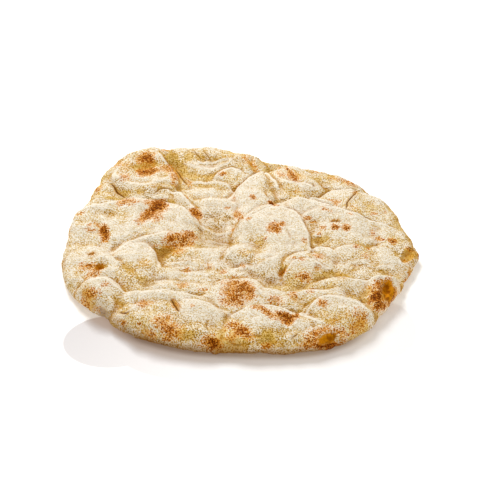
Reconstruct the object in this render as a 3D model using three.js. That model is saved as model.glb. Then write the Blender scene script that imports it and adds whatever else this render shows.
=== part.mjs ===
// Pizza base: a round, hand-stretched flatbread, baked plain, in millimetres, +Z up.
// It is one piece of bread. The shape is a thin sheet with a thicker rim, and on
// it the pillows that steam blew up in the dough, each a lobe with a steep far
// side and a soft near side. Lobes meet in creases, a few have burst, and the
// underside is flat where it lay on the oven floor and curls up at the edge.
import * as THREE from 'three';

// ---- driving sizes ---------------------------------------------------------
const MEAN_RADIUS = 153.2;      // of the plan outline
const OUTLINE_WAVES = [          // waves round the outline: count, height, phase in degrees
  [1, 5.4, -149], [2, 6.1, -102], [3, 2.8, 2], [4, 4.7, 137], [5, 2.2, -79], [6, 1.7, -5], [7, 1.4, -67], [8, 0.5, -50], [9, 0.5, 116], [10, 0.3, -93], [11, 0.4, 75],
];
const SHEET_T = 11;          // dough between the lobes
const RIM_T = 9.8;               // thickness of the rim, before its thicker stretches
const BACK_RIM = { from: 87, to: 148, extra: 9, ease: [5, 9] }; // the rim stands thicker along this stretch, in degrees
const RIM_SWELLS = [[190, 40, 3], [-88, 52, -2.6]]; // at degrees, spread, extra height
const RIM_AT = 16, RIM_SPREAD = 20;   // how far in the rim's crest lies, and how wide it is
const EDGE_Z = 5.5;            // height of the outline's widest line above the oven floor
const EDGE_W = 10;            // the rim's rounded shoulder, in plan
const FOOT_W = 11;            // the underside lifts off the floor over this width
const EDGE_POWER = 2.3;          // fullness of the shoulder
const MERGE = 1.0;               // how softly one lobe runs into the next
const NEAR = 1.35;               // how much longer a lobe's gentle side is

// Lobes of the dough: x, y, half length, half width, turned by degrees, height,
// fullness, lean in x, lean in y, bearing of the steep side, softness of the other side.
const LOBES = {
  back_left:           [-87, 110, 32, 41, -4, 8, 2.4, 0, 0.1, 80, 0.8],
  back_left_top:       [-95, 126, 28, 20, 8, 10, 2.3, 0, 0, 90, 1.2],
  back_left_low:       [-82, 92, 33, 24, -6, 9.5, 2.6, 0.05, 0, 60, 0.7],
  left_big:            [-96, 17, 57, 42, -3, 10.5, 3, 0.1, 0.55, 75, 1.4],
  left_big_mid:        [-92, 5, 46, 26, 5, 9.5, 2.2, 0, 0, 90, 1.3],
  left_tongue:         [-76, -12, 32, 12, 20, 9, 2.1, 0.1, 0, 100, 1.5],
  left_low:            [-88, -38, 22, 28, -4, 7.5, 2.4, 0.2, 0.1, 45, 1.8],
  left_rim:            [-128, -45, 26, 32, 0, 5, 2, -0.1, 0, 90, 1.3],
  left_strip:          [-106, -52, 26, 15, -28, 8, 2.2, 0, 0.1, 60, 1.2],
  front_left_knob:     [-117, -90, 22, 24, 0, 12, 2.2, 0, 0.1, 95, 1],
  front_left_ridge:    [-68, -101, 48, 18, -2, 9.5, 2.2, 0, 0.2, 90, 1.2],
  front_left_fill:     [-62, -116, 46, 20, 0, 10.5, 2, 0, 0, 90, 0.8],
  front_left_a:        [-64, -131, 34, 29, 0, 11, 2.3, 0, 0.15, 90, 1],
  front_left_b:        [-34, -128, 26, 30, 0, 12, 2.5, 0, 0.15, 70, 1],
  front_mid:           [22, -136, 40, 30, -4, 12, 2.3, 0, 0.2, 90, 1],
  front_right:         [76, -117, 31, 27, -8, 13, 2.5, 0.1, 0.15, 80, 0.9],
  front_burst:         [66, -146, 20, 14, 10, 9, 2.3, 0, 0, 90, 0.9],
  right_burst:         [115, -86, 17, 24, -12, 13, 2.4, 0.2, 0.15, 60, 0.8],
  ridge_bump:          [57, -50, 22, 20, 0, 11, 2.4, -0.1, 0.1, 110, 0.9],
  ridge_arm:           [88, -79, 32, 14, -3, 8.5, 2.3, 0, 0.2, 90, 1.2],
  centre_right:        [31, 5, 33, 44, 6, 12, 3, 0.05, 0.35, 90, 1],
  cr_low:              [24, -22, 30, 30, 0, 7.5, 2.4, 0, 0, 30, 1.4],
  cr_toe_left:         [2, -27, 15, 16, 10, 8, 2.3, 0, 0, 90, 0.65],
  cr_toe_right:        [23, -42, 17, 18, -14, 9, 2.3, 0, 0, 110, 0.8],
  right_dome:          [87, 10, 32, 33, 0, 11, 2.4, 0, 0.2, 95, 1],
  right_behind:        [73, 27, 48, 28, -20, 12.3, 2.6, 0, 0.3, 90, 1.1],
  right_back:          [104, 42, 42, 31, -32, 12, 2.5, 0, 0.2, 80, 1.1],
  back_right:          [50, 86, 30, 33, 0, 10, 2.4, 0, 0.2, 90, 0.9],
  back_right_b:        [58, 80, 22, 20, -30, 11, 2.3, 0, 0, 90, 1],
  mid_ridge:           [13, 62, 16, 42, -6, 10, 2.5, 0.1, 0.15, 90, 1],
  mid_right_fill:      [35, 93, 14, 25, 0, 8.5, 2, 0, 0, 90, 1],
  mid_right_low:       [37, 66, 13, 17, 0, 7.5, 2, 0, 0, 90, 1],
  back_rim_right:      [86, 92, 28, 15, -24, 8.5, 2.3, 0, 0, 70, 1],
  back_mid_a:          [-46, 110, 28, 30, 0, 6, 2.3, 0, 0.2, 90, 0.8],
  back_mid_b:          [-4, 116, 28, 25, -10, 8, 2.3, 0, 0.2, 90, 1],
  back_band:           [-30, 132, 46, 16, -4, 6, 2.2, 0, 0, 90, 1.2],
  back_bump:           [-9, 96, 22, 14, -3, 8, 2.1, 0, 0, 90, 0.9],
  val_a:               [-26, 74, 26, 12, 0, 4.5, 2.1, 0, 0, 90, 1],
  val_b:               [-20, 48, 26, 20, 0, 4.5, 2.1, 0, 0.2, 90, 1],
  fold_a:              [-52, 60, 15, 14, -30, 5.5, 2.1, 0, 0, 60, 1.1],
  fold_b:              [-72, 66, 12, 8, 0, 6, 2.1, 0, 0, 90, 0.9],
  mid_a:               [-60, -50, 14, 9, -10, 3.2, 2.1, 0, 0, 90, 1.1],
  mid_b:               [-40, -30, 28, 16, 15, 4, 2, 0, 0, 90, 1],
  mid_c:               [-33, -60, 20, 11, -8, 3, 2, 0, 0, 90, 1],
  mid_d:               [-10, -57, 15, 10, 0, 3.2, 2, 0, 0, 90, 1],
  mid_e:               [6, -48, 10, 8, 10, 3, 2, 0, 0, 90, 1.1],
  mid_f:               [-55, -76, 26, 10, -4, 3.2, 2, 0, 0, 90, 1],
  mid_g:               [-20, -76, 24, 10, 8, 2.8, 2, 0, 0, 90, 1],
  mound:               [-3, -90, 27, 26, 0, 6.5, 2, 0, 0.1, 90, 1],
  diag_ridge:          [32, -94, 28, 12, -28, 6, 2.1, 0, 0, 90, 1],
  r_a:                 [68, -34, 17, 16, -10, 5, 2.2, 0, 0.1, 100, 1.1],
  r_b:                 [95, -30, 23, 15, 8, 5.2, 2.1, 0, 0.15, 80, 1.2],
  r_c:                 [121, -34, 19, 20, -8, 5.5, 2.1, 0, 0.1, 90, 1.2],
  r_d:                 [98, -56, 30, 13, -6, 4.5, 2.1, 0, 0, 95, 1.2],
  right_rim:           [130, -2, 18, 20, 20, 5, 2.3, 0, 0, 90, 1.2],
  front_r_ridge:       [68, -90, 34, 12, -4, 7, 2.1, 0, 0.1, 90, 1],
};
// Sunken places: x, y, half length, half width, turned by degrees, depth.
const DIMPLES = [
  [-20, 3, 15, 12, 0, 6.5],
  [15, -12, 7, 11, 0, 4],
  [118, -83, 6, 13, -12, 9],
  [70, -148, 9, 6, 10, 6],
  [-116, -50, 5, 5, 0, 5],
  [38, -121, 9, 6, -20, 4],
  [-88, 106, 15, 5, 12, 3],
  [-78, 34, 7, 16, -25, 3],
  [-121, 2, 5, 12, 20, 2.5],
  [-62, -30, 5, 9, 0, 3],
];
// Narrow folds and slits: from x, y, to x, y, bend, width, depth.
const SLITS = [
  [8, 128, 14, 104, -2, 2.2, 1.8],
];

// ---- mesh fineness ---------------------------------------------------------
const RINGS = 34;                // rings of 6, 12, 18 ... points over the top
const SHOULDER = [0.4, 1.9, 4.6, 8.6];  // the outermost rings lie this far in, besides the outline
const UNDER = [2.2, 6.0, FOOT_W];  // rings of the curled edge below, down to the flat foot

const rad = (d) => d * Math.PI / 180;
const clamp = (v, a, b) => Math.min(b, Math.max(a, v));

function outline(t) {
  let r = MEAN_RADIUS;
  for (const [k, a, ph] of OUTLINE_WAVES) r += a * Math.cos(k * t - rad(ph));
  return r;
}

function rimThickness(t) {
  const g = t * 180 / Math.PI;
  const full = ((g % 360) + 360) % 360;
  let z = RIM_T + BACK_RIM.extra / (1 + Math.exp(-(full - BACK_RIM.from) / BACK_RIM.ease[0]))
    / (1 + Math.exp((full - BACK_RIM.to) / BACK_RIM.ease[1]));
  for (const [at, spread, extra] of RIM_SWELLS) {
    const d = ((g - at + 180) % 360 + 360) % 360 - 180;
    z += extra * Math.exp(-((d / spread) ** 2));
  }
  return z;
}

// The dough was stretched by hand, so nothing on it is a true ellipse: the
// lobes are laid out on a gently pulled plane.
function pulled(x, y) {
  const wx = 2.6 * Math.sin(x / 19 + y / 31 + 0.7) + 1.9 * Math.sin(-x / 37 + y / 14 + 2.1)
    + 1.1 * Math.sin(x / 7.3 + y / 9.1 + 0.4) + 0.6 * Math.sin(y / 4.1 - x / 6.3);
  const wy = 2.4 * Math.sin(y / 21 - x / 27 + 1.9) + 1.8 * Math.sin(x / 16 + y / 40 + 0.2)
    + 1.1 * Math.sin(x / 8.9 - y / 7.7 + 1.3) + 0.6 * Math.sin(x / 4.4 + y / 5.9);
  return [x + 0.9 * wx, y + 0.9 * wy];
}

// Small unevenness of the whole skin.
function uneven(x, y) {
  return 0.8 * Math.sin(x / 11 + y / 17 + 1) * Math.sin(y / 12 - x / 23 + 0.3)
    + 0.6 * Math.sin(x / 6.5 - y / 8.3 + 2) * Math.sin(y / 7.1 + x / 9.7)
    + 0.35 * Math.sin(x / 3.9 + y / 4.7 + 0.5) * Math.sin(y / 3.3 - x / 5.1 + 1.1);
}

function softMax(a, b, k) {
  const h = clamp(0.5 + 0.5 * (a - b) / k, 0, 1);
  return b * (1 - h) + a * h + k * h * (1 - h);
}

function lobeHeight(X, Y) {
  let top = 0;
  for (const [cx, cy, a, b, rot, h, p, lx, ly, steepAt, soft] of Object.values(LOBES)) {
    const c = Math.cos(rad(rot)), s = Math.sin(rad(rot));
    const dx = X - cx, dy = Y - cy;
    const round = Math.hypot((dx * c + dy * s) / a, (-dx * s + dy * c) / b);
    let w = (dx * Math.cos(rad(steepAt)) + dy * Math.sin(rad(steepAt))) / (Math.hypot(dx, dy) + 1e-6);
    w = clamp(w + 0.6, 0, 1);
    w = w * w * (3 - 2 * w);
    const rho = round / (1 + (NEAR - 1) * (1 - w));
    const q = 0.5 * w + soft * 1.25 * (1 - w);
    const f = clamp(1 - Math.min(rho, 1) ** p, 0, 1) ** q;
    top = softMax(top, h * f * (1 + lx * dx / a + ly * dy / b), MERGE);
  }
  return top;
}

function topHeight(x, y) {
  const t = Math.atan2(y, x);
  const s = outline(t) - Math.hypot(x, y);          // how far in from the outline
  const e = (1 - (1 - clamp(s / EDGE_W, 0, 1)) ** EDGE_POWER) ** (1 / EDGE_POWER);
  const sheet = SHEET_T + (rimThickness(t) - SHEET_T) * Math.exp(-(((s - RIM_AT) / RIM_SPREAD) ** 2));
  const [X, Y] = pulled(x, y);
  let z = sheet + lobeHeight(X, Y) + uneven(x, y);
  for (const [cx, cy, a, b, rot, d] of DIMPLES) {
    const c = Math.cos(rad(rot)), si = Math.sin(rad(rot));
    const dx = X - cx, dy = Y - cy;
    const u = (dx * c + dy * si) / a, v = (-dx * si + dy * c) / b;
    z -= d * Math.exp(-(u * u + v * v));
  }
  for (const [x0, y0, x1, y1, bend, w, d] of SLITS) {
    const L = Math.hypot(x1 - x0, y1 - y0), tx = (x1 - x0) / L, ty = (y1 - y0) / L;
    const dx = X - x0, dy = Y - y0;
    const al = (dx * tx + dy * ty) / L, m = clamp(al, 0, 1);
    const ac = -dx * ty + dy * tx - bend * 4 * m * (1 - m);
    z -= d * Math.exp(-((ac / w) ** 2)) * clamp(Math.min(al, 1 - al) * 5 + 0.5, 0, 1);
  }
  return EDGE_Z + (z - EDGE_Z) * e;
}

// The curled edge below: 0 on the foot, EDGE_Z at the outline.
function underHeight(s) {
  const m = 1 - clamp(s / FOOT_W, 0, 1);
  return EDGE_Z * (1 - Math.sqrt(1 - m * m));
}

// ---- the closed skin -------------------------------------------------------
const points = [];
const faces = [];
const addPoint = (x, y, z) => points.push([x, y, z]) - 1;

// Ring k of the top has 6k points; the last ones crowd into the shoulder.
function ringInset(k, R) {
  if (k === RINGS) return 0;
  const fromEdge = RINGS - 1 - k;
  if (fromEdge < SHOULDER.length) return SHOULDER[fromEdge];
  const inner = RINGS - SHOULDER.length;
  return R - (R - 13.0) * k / (inner - 1);
}

function makeRing(k) {
  const ring = [];
  for (let j = 0; j < 6 * k; j++) {
    const t = 2 * Math.PI * j / (6 * k);
    const R = outline(t);
    const r = R - ringInset(k, R);
    const x = r * Math.cos(t), y = r * Math.sin(t);
    ring.push(addPoint(x, y, k === RINGS ? EDGE_Z : topHeight(x, y)));
  }
  return ring;
}

// Triangles between two closed rings of any point counts, walking both by angle.
function zip(inner, outer, flip) {
  const n = inner.length, m = outer.length;
  let i = 0, j = 0;
  while (i < n || j < m) {
    const a = inner[i % n], b = outer[j % m];
    const stepOuter = j < m && (i >= n || (j + 1) / m <= (i + 1) / n + 1e-9);
    const c = stepOuter ? outer[(j + 1) % m] : inner[(i + 1) % n];
    if (stepOuter) j++; else i++;
    faces.push(flip ? [a, c, b] : [a, b, c]);
  }
}

const centre = addPoint(0, 0, topHeight(0, 0));
let ring = makeRing(1);
for (let j = 0; j < ring.length; j++) faces.push([centre, ring[j], ring[(j + 1) % ring.length]]);
for (let k = 2; k <= RINGS; k++) {
  const next = makeRing(k);
  zip(ring, next, false);
  ring = next;
}
for (const inset of UNDER) {
  const next = [];
  for (let j = 0; j < ring.length; j++) {
    const t = 2 * Math.PI * j / ring.length;
    const r = outline(t) - inset;
    next.push(addPoint(r * Math.cos(t), r * Math.sin(t), underHeight(inset)));
  }
  zip(next, ring, true);
  ring = next;
}
const foot = addPoint(0, 0, 0);    // the flat foot that the bread rests on
for (let j = 0; j < ring.length; j++) faces.push([foot, ring[(j + 1) % ring.length], ring[j]]);

// The origin is under the middle of the bread's box.
const box = new THREE.Box3();
for (const p of points) box.expandByPoint(new THREE.Vector3(...p));
const mid = box.getCenter(new THREE.Vector3());

const geometry = new THREE.BufferGeometry();
geometry.setAttribute('position', new THREE.Float32BufferAttribute(
  points.flatMap(([x, y, z]) => [x - mid.x, y - mid.y, z]), 3));
geometry.setIndex(faces.flat());
geometry.computeVertexNormals();

const crumb = new THREE.MeshStandardMaterial({ color: 0xdfc6a0, roughness: 0.88, metalness: 0 });
const base = new THREE.Mesh(geometry, crumb);
base.name = 'pizza_base';

const model = new THREE.Group();
model.add(base);
export default model;
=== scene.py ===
# Pizza base: a baked, plain, hand-stretched round of dough lying flat.
# One piece of bread replaces the plain solid: the same lobed form at a finer mesh,
# with creases, wrinkles, slits, burst bubbles, scorch marks and a dusting of flour.
# Sizes below are in millimetres; the mesh itself is in metres.
import math

import bpy
import numpy as np
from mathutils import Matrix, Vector


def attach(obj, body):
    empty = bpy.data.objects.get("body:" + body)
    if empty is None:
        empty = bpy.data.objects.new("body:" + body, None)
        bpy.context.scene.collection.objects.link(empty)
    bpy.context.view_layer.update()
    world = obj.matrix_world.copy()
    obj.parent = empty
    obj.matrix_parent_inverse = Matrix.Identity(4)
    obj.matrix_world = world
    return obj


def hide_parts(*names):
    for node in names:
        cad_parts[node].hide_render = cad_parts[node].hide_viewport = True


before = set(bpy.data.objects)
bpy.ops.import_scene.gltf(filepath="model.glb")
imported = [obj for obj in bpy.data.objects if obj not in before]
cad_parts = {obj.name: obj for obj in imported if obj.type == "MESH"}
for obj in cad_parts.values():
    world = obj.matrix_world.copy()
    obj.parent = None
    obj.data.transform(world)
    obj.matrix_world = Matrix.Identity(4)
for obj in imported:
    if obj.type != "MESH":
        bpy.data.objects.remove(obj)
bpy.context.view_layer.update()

# ---------------------------------------------------------------- form of the dough
MEAN_RADIUS = 153.2
OUTLINE_WAVES = [                # turns, mm, bearing
    (1, 5.4, -149), (2, 6.1, -102), (3, 2.8, 2), (4, 4.7, 137), (5, 2.2, -79), (6, 1.7, -5), (7, 1.4, -67),
    (8, 0.5, -50), (9, 0.5, 116), (10, 0.3, -93), (11, 0.4, 75),
]
SHEET_T, RIM_T = 11.0, 9.8
BACK_RIM = (87, 148, 9, 5, 9)    # from bearing, to bearing, mm, softness of each end
RIM_SWELLS = [(190, 40, 3), (-88, 52, -2.6)]
RIM_AT, RIM_SPREAD = 16, 20
EDGE_Z, EDGE_W, FOOT_W, EDGE_POWER = 5.5, 10.0, 11.0, 2.3
MERGE, NEAR = 1.0, 1.35           # how softly lobes meet, and how much longer their gentle side is
# puffed lobes: x, y, half length, half width, turn, height, fullness, lean x, lean y, steep side's bearing, softness
LOBES = {
    "back_left": (-87, 110, 32, 41, -4, 8, 2.4, 0, 0.1, 80, 0.8),
    "back_left_top": (-95, 126, 28, 20, 8, 10, 2.3, 0, 0, 90, 1.2),
    "back_left_low": (-82, 92, 33, 24, -6, 9.5, 2.6, 0.05, 0.0, 60, 0.7),
    "left_big": (-96, 17, 57, 42, -3, 10.5, 3.0, 0.1, 0.55, 75, 1.4),
    "left_big_mid": (-92, 5, 46, 26, 5, 9.5, 2.2, 0, 0, 90, 1.3),
    "left_tongue": (-76, -12, 32, 12, 20, 9, 2.1, 0.1, 0, 100, 1.5),
    "left_low": (-88, -38, 22, 28, -4, 7.5, 2.4, 0.2, 0.1, 45, 1.8),
    "left_rim": (-128, -45, 26, 32, 0, 5, 2.0, -0.1, 0, 90, 1.3),
    "left_strip": (-106, -52, 26, 15, -28, 8, 2.2, 0, 0.1, 60, 1.2),
    "front_left_knob": (-117, -90, 22, 24, 0, 12, 2.2, 0, 0.1, 95, 1.0),
    "front_left_ridge": (-68, -101, 48, 18, -2, 9.5, 2.2, 0, 0.2, 90, 1.2),
    "front_left_fill": (-62, -116, 46, 20, 0, 10.5, 2.0, 0, 0, 90, 0.8),
    "front_left_a": (-64, -131, 34, 29, 0, 11, 2.3, 0, 0.15, 90, 1.0),
    "front_left_b": (-34, -128, 26, 30, 0, 12, 2.5, 0, 0.15, 70, 1.0),
    "front_mid": (22, -136, 40, 30, -4, 12, 2.3, 0, 0.2, 90, 1.0),
    "front_right": (76, -117, 31, 27, -8, 13, 2.5, 0.1, 0.15, 80, 0.9),
    "front_burst": (66, -146, 20, 14, 10, 9, 2.3, 0, 0, 90, 0.9),
    "right_burst": (115, -86, 17, 24, -12, 13, 2.4, 0.2, 0.15, 60, 0.8),
    "ridge_bump": (57, -50, 22, 20, 0, 11, 2.4, -0.1, 0.1, 110, 0.9),
    "ridge_arm": (88, -79, 32, 14, -3, 8.5, 2.3, 0, 0.2, 90, 1.2),
    "centre_right": (31, 5, 33, 44, 6, 12, 3.0, 0.05, 0.35, 90, 1.0),
    "cr_low": (24, -22, 30, 30, 0, 7.5, 2.4, 0, 0, 30, 1.4),
    "cr_toe_left": (2, -27, 15, 16, 10, 8, 2.3, 0, 0, 90, 0.65),
    "cr_toe_right": (23, -42, 17, 18, -14, 9, 2.3, 0, 0, 110, 0.8),
    "right_dome": (87, 10, 32, 33, 0, 11, 2.4, 0, 0.2, 95, 1.0),
    "right_behind": (73, 27, 48, 28, -20, 12.3, 2.6, 0, 0.3, 90, 1.1),
    "right_back": (104, 42, 42, 31, -32, 12, 2.5, 0, 0.2, 80, 1.1),
    "back_right": (50, 86, 30, 33, 0, 10, 2.4, 0, 0.2, 90, 0.9),
    "back_right_b": (58, 80, 22, 20, -30, 11, 2.3, 0, 0, 90, 1.0),
    "mid_ridge": (13, 62, 16, 42, -6, 10, 2.5, 0.1, 0.15, 90, 1.0),
    "mid_right_fill": (35, 93, 14, 25, 0, 8.5, 2.0, 0, 0, 90, 1.0),
    "mid_right_low": (37, 66, 13, 17, 0, 7.5, 2.0, 0, 0, 90, 1.0),
    "back_rim_right": (86, 92, 28, 15, -24, 8.5, 2.3, 0, 0, 70, 1.0),
    "back_mid_a": (-46, 110, 28, 30, 0, 6, 2.3, 0, 0.2, 90, 0.8),
    "back_mid_b": (-4, 116, 28, 25, -10, 8, 2.3, 0, 0.2, 90, 1.0),
    "back_band": (-30, 132, 46, 16, -4, 6, 2.2, 0, 0, 90, 1.2),
    "back_bump": (-9, 96, 22, 14, -3, 8, 2.1, 0, 0, 90, 0.9),
    "val_a": (-26, 74, 26, 12, 0, 4.5, 2.1, 0, 0, 90, 1.0),
    "val_b": (-20, 48, 26, 20, 0, 4.5, 2.1, 0, 0.2, 90, 1.0),
    "fold_a": (-52, 60, 15, 14, -30, 5.5, 2.1, 0, 0, 60, 1.1),
    "fold_b": (-72, 66, 12, 8, 0, 6, 2.1, 0, 0, 90, 0.9),
    "mid_a": (-60, -50, 14, 9, -10, 3.2, 2.1, 0, 0, 90, 1.1),
    "mid_b": (-40, -30, 28, 16, 15, 4.0, 2.0, 0, 0, 90, 1.0),
    "mid_c": (-33, -60, 20, 11, -8, 3.0, 2.0, 0, 0, 90, 1.0),
    "mid_d": (-10, -57, 15, 10, 0, 3.2, 2.0, 0, 0, 90, 1.0),
    "mid_e": (6, -48, 10, 8, 10, 3, 2.0, 0, 0, 90, 1.1),
    "mid_f": (-55, -76, 26, 10, -4, 3.2, 2.0, 0, 0, 90, 1.0),
    "mid_g": (-20, -76, 24, 10, 8, 2.8, 2.0, 0, 0, 90, 1.0),
    "mound": (-3, -90, 27, 26, 0, 6.5, 2.0, 0, 0.1, 90, 1.0),
    "diag_ridge": (32, -94, 28, 12, -28, 6, 2.1, 0, 0, 90, 1.0),
    "r_a": (68, -34, 17, 16, -10, 5, 2.2, 0, 0.1, 100, 1.1),
    "r_b": (95, -30, 23, 15, 8, 5.2, 2.1, 0, 0.15, 80, 1.2),
    "r_c": (121, -34, 19, 20, -8, 5.5, 2.1, 0, 0.1, 90, 1.2),
    "r_d": (98, -56, 30, 13, -6, 4.5, 2.1, 0, 0, 95, 1.2),
    "right_rim": (130, -2, 18, 20, 20, 5, 2.3, 0, 0, 90, 1.2),
    "front_r_ridge": (68, -90, 34, 12, -4, 7, 2.1, 0, 0.1, 90, 1.0),
}
DIMPLES = [                      # x, y, half length, half width, turn, depth
    (-20, 3, 15, 12, 0, 6.5),
    (15, -12, 7, 11, 0, 4),
    (118, -83, 6, 13, -12, 9),
    (70, -148, 9, 6, 10, 6),
    (-116, -50, 5, 5, 0, 5),
    (38, -121, 9, 6, -20, 4),
    (-88, 106, 15, 5, 12, 3),
    (-78, 34, 7, 16, -25, 3),
    (-121, 2, 5, 12, 20, 2.5),
    (-62, -30, 5, 9, 0, 3),
]
SLITS = [                        # x, y, x, y, bend, width, depth
    (8, 128, 14, 104, -2, 2.2, 1.8),
]
RAD = math.pi / 180


def clip01(v):
    return np.clip(v, 0.0, 1.0)


def smooth(a, b, v):
    h = clip01((v - a) / (b - a))
    return h * h * (3 - 2 * h)


def outline(t):
    r = np.full_like(t, MEAN_RADIUS)
    for k, a, ph in OUTLINE_WAVES:
        r = r + a * np.cos(k * t - ph * RAD)
    return r


def rim_thickness(t):
    g = np.mod(t / RAD, 360)
    z = RIM_T + BACK_RIM[2] / (1 + np.exp(-(g - BACK_RIM[0]) / BACK_RIM[3])) / (
        1 + np.exp((g - BACK_RIM[1]) / BACK_RIM[4]))
    for at, spread, extra in RIM_SWELLS:
        d = np.mod(g - at + 180, 360) - 180
        z = z + extra * np.exp(-(d / spread) ** 2)
    return z


def pulled(x, y):
    wx = (2.6 * np.sin(x / 19 + y / 31 + .7) + 1.9 * np.sin(-x / 37 + y / 14 + 2.1)
          + 1.1 * np.sin(x / 7.3 + y / 9.1 + .4) + .6 * np.sin(y / 4.1 - x / 6.3))
    wy = (2.4 * np.sin(y / 21 - x / 27 + 1.9) + 1.8 * np.sin(x / 16 + y / 40 + .2)
          + 1.1 * np.sin(x / 8.9 - y / 7.7 + 1.3) + .6 * np.sin(x / 4.4 + y / 5.9))
    return x + .9 * wx, y + .9 * wy


def uneven(x, y):
    return (.8 * np.sin(x / 11 + y / 17 + 1) * np.sin(y / 12 - x / 23 + .3)
            + .6 * np.sin(x / 6.5 - y / 8.3 + 2) * np.sin(y / 7.1 + x / 9.7)
            + .35 * np.sin(x / 3.9 + y / 4.7 + .5) * np.sin(y / 3.3 - x / 5.1 + 1.1))


def soft_max(a, b, k):
    h = clip01(.5 + .5 * (a - b) / k)
    return b * (1 - h) + a * h + k * h * (1 - h)


def lobe_height(X, Y):
    top = np.zeros_like(X)
    for cx, cy, a, b, rot, h, p, lx, ly, steep_at, soft in LOBES.values():
        c, s = math.cos(rot * RAD), math.sin(rot * RAD)
        dx, dy = X - cx, Y - cy
        rho = np.hypot((dx * c + dy * s) / a, (-dx * s + dy * c) / b)
        w = (dx * math.cos(steep_at * RAD) + dy * math.sin(steep_at * RAD)) / (np.hypot(dx, dy) + 1e-6)
        w = clip01(w + .6)
        w = w * w * (3 - 2 * w)
        rho = rho / (1 + (NEAR - 1) * (1 - w))
        f = clip01(1 - np.minimum(rho, 1) ** p) ** (.5 * w + soft * 1.25 * (1 - w))
        top = soft_max(top, h * f * (1 + lx * dx / a + ly * dy / b), MERGE)
    return top


def top_parts(x, y):
    """Height of the top before the shoulder rounds it off, and the shoulder's share."""
    t = np.arctan2(y, x)
    s = outline(t) - np.hypot(x, y)
    e = (1 - (1 - clip01(s / EDGE_W)) ** EDGE_POWER) ** (1 / EDGE_POWER)
    sheet = SHEET_T + (rim_thickness(t) - SHEET_T) * np.exp(-((s - RIM_AT) / RIM_SPREAD) ** 2)
    X, Y = pulled(x, y)
    z = sheet + lobe_height(X, Y) + uneven(x, y)
    for cx, cy, a, b, rot, d in DIMPLES:
        c, si = math.cos(rot * RAD), math.sin(rot * RAD)
        dx, dy = X - cx, Y - cy
        u, v = (dx * c + dy * si) / a, (-dx * si + dy * c) / b
        z = z - d * np.exp(-(u * u + v * v))
    for x0, y0, x1, y1, bend, w, d in SLITS:
        L = math.hypot(x1 - x0, y1 - y0)
        tx, ty = (x1 - x0) / L, (y1 - y0) / L
        dx, dy = X - x0, Y - y0
        al = (dx * tx + dy * ty) / L
        m = clip01(al)
        ac = -dx * ty + dy * tx - bend * 4 * m * (1 - m)
        z = z - d * np.exp(-(ac / w) ** 2) * clip01(np.minimum(al, 1 - al) * 5 + .5)
    return z, e, s


# ---------------------------------------------------------------- noise and filters
def lattice(seed):
    return np.random.default_rng(seed).uniform(-1, 1, (256, 256))


def noise(x, y, size, seed):
    """Smooth noise from -1 to 1 whose lumps are about size wide."""
    g = lattice(seed)
    u, v = x / size + 71.3, y / size + 39.7
    i, j = np.floor(u).astype(int), np.floor(v).astype(int)
    fu, fv = u - i, v - j
    fu = fu * fu * fu * (fu * (fu * 6 - 15) + 10)
    fv = fv * fv * fv * (fv * (fv * 6 - 15) + 10)
    i0, i1, j0, j1 = i % 256, (i + 1) % 256, j % 256, (j + 1) % 256
    return ((g[i0, j0] * (1 - fu) + g[i1, j0] * fu) * (1 - fv)
            + (g[i0, j1] * (1 - fu) + g[i1, j1] * fu) * fv)


def noise_3d(p, size, seed):
    """The same in space, for points p."""
    g = np.random.default_rng(seed).uniform(-1, 1, (64, 64, 64))
    u = p / size + 31.7
    i = np.floor(u).astype(int)
    f = u - i
    f = f * f * f * (f * (f * 6 - 15) + 10)
    out = 0
    for a in (0, 1):
        for b in (0, 1):
            for c in (0, 1):
                w = (f[:, 0] if a else 1 - f[:, 0]) * (f[:, 1] if b else 1 - f[:, 1]) * (f[:, 2] if c else 1 - f[:, 2])
                out = out + w * g[(i[:, 0] + a) % 64, (i[:, 1] + b) % 64, (i[:, 2] + c) % 64]
    return out


STEP = 0.6                       # grid for filters and for finding what shows where
HALF = 172.0
AXIS = np.arange(-HALF, HALF + STEP / 2, STEP)
N_AXIS = len(AXIS)
GX, GY = np.meshgrid(AXIS, AXIS)          # row = y, column = x
_f = np.fft.fftfreq(N_AXIS, STEP)
_FR = np.fft.rfftfreq(N_AXIS, STEP)


def blur(a, sigma):
    k = np.exp(-2 * (math.pi * sigma) ** 2 * (_f[:, None] ** 2 + _FR[None, :] ** 2))
    return np.fft.irfft2(np.fft.rfft2(a) * k, s=a.shape)


def sample(a, x, y):
    u = np.clip((x + HALF) / STEP, 0, N_AXIS - 1.001)
    v = np.clip((y + HALF) / STEP, 0, N_AXIS - 1.001)
    i, j = u.astype(int), v.astype(int)
    fu, fv = u - i, v - j
    return ((a[j, i] * (1 - fu) + a[j, i + 1] * fu) * (1 - fv)
            + (a[j + 1, i] * (1 - fu) + a[j + 1, i + 1] * fu) * fv)


# ---------------------------------------------------------------- the view
ELEV = 33 * RAD
DIST = 1158.0
AIM_Z = 10.0
F_PX = 480 * 100 / 36            # lens 100 mm on a 36 mm sensor, 480 pixels wide
_cE, _sE = math.cos(ELEV), math.sin(ELEV)
EYE = np.array([0.0, -DIST * _cE, DIST * _sE + AIM_Z])
AHEAD = np.array([0.0, _cE, -_sE])
UPWARD = np.array([0.0, _sE, _cE])
SIDE = np.array([1.0, 0.0, 0.0])

_z, _e, _s = top_parts(GX, GY)
INSIDE = _s > 0
Z0 = np.where(INSIDE, EDGE_Z + (_z - EDGE_Z) * _e, 0.0)
shown = np.where(INSIDE, Z0, -1.0)          # what seen() looks at
ZB = blur(np.where(INSIDE, Z0, EDGE_Z * .6), 2.5)
SLOPE_Y, SLOPE_X = np.gradient(ZB, STEP)


def ray(px, py):
    d = ((px - 240) / F_PX)[..., None] * SIDE - ((py - 240) / F_PX)[..., None] * UPWARD + AHEAD
    return d


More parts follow.
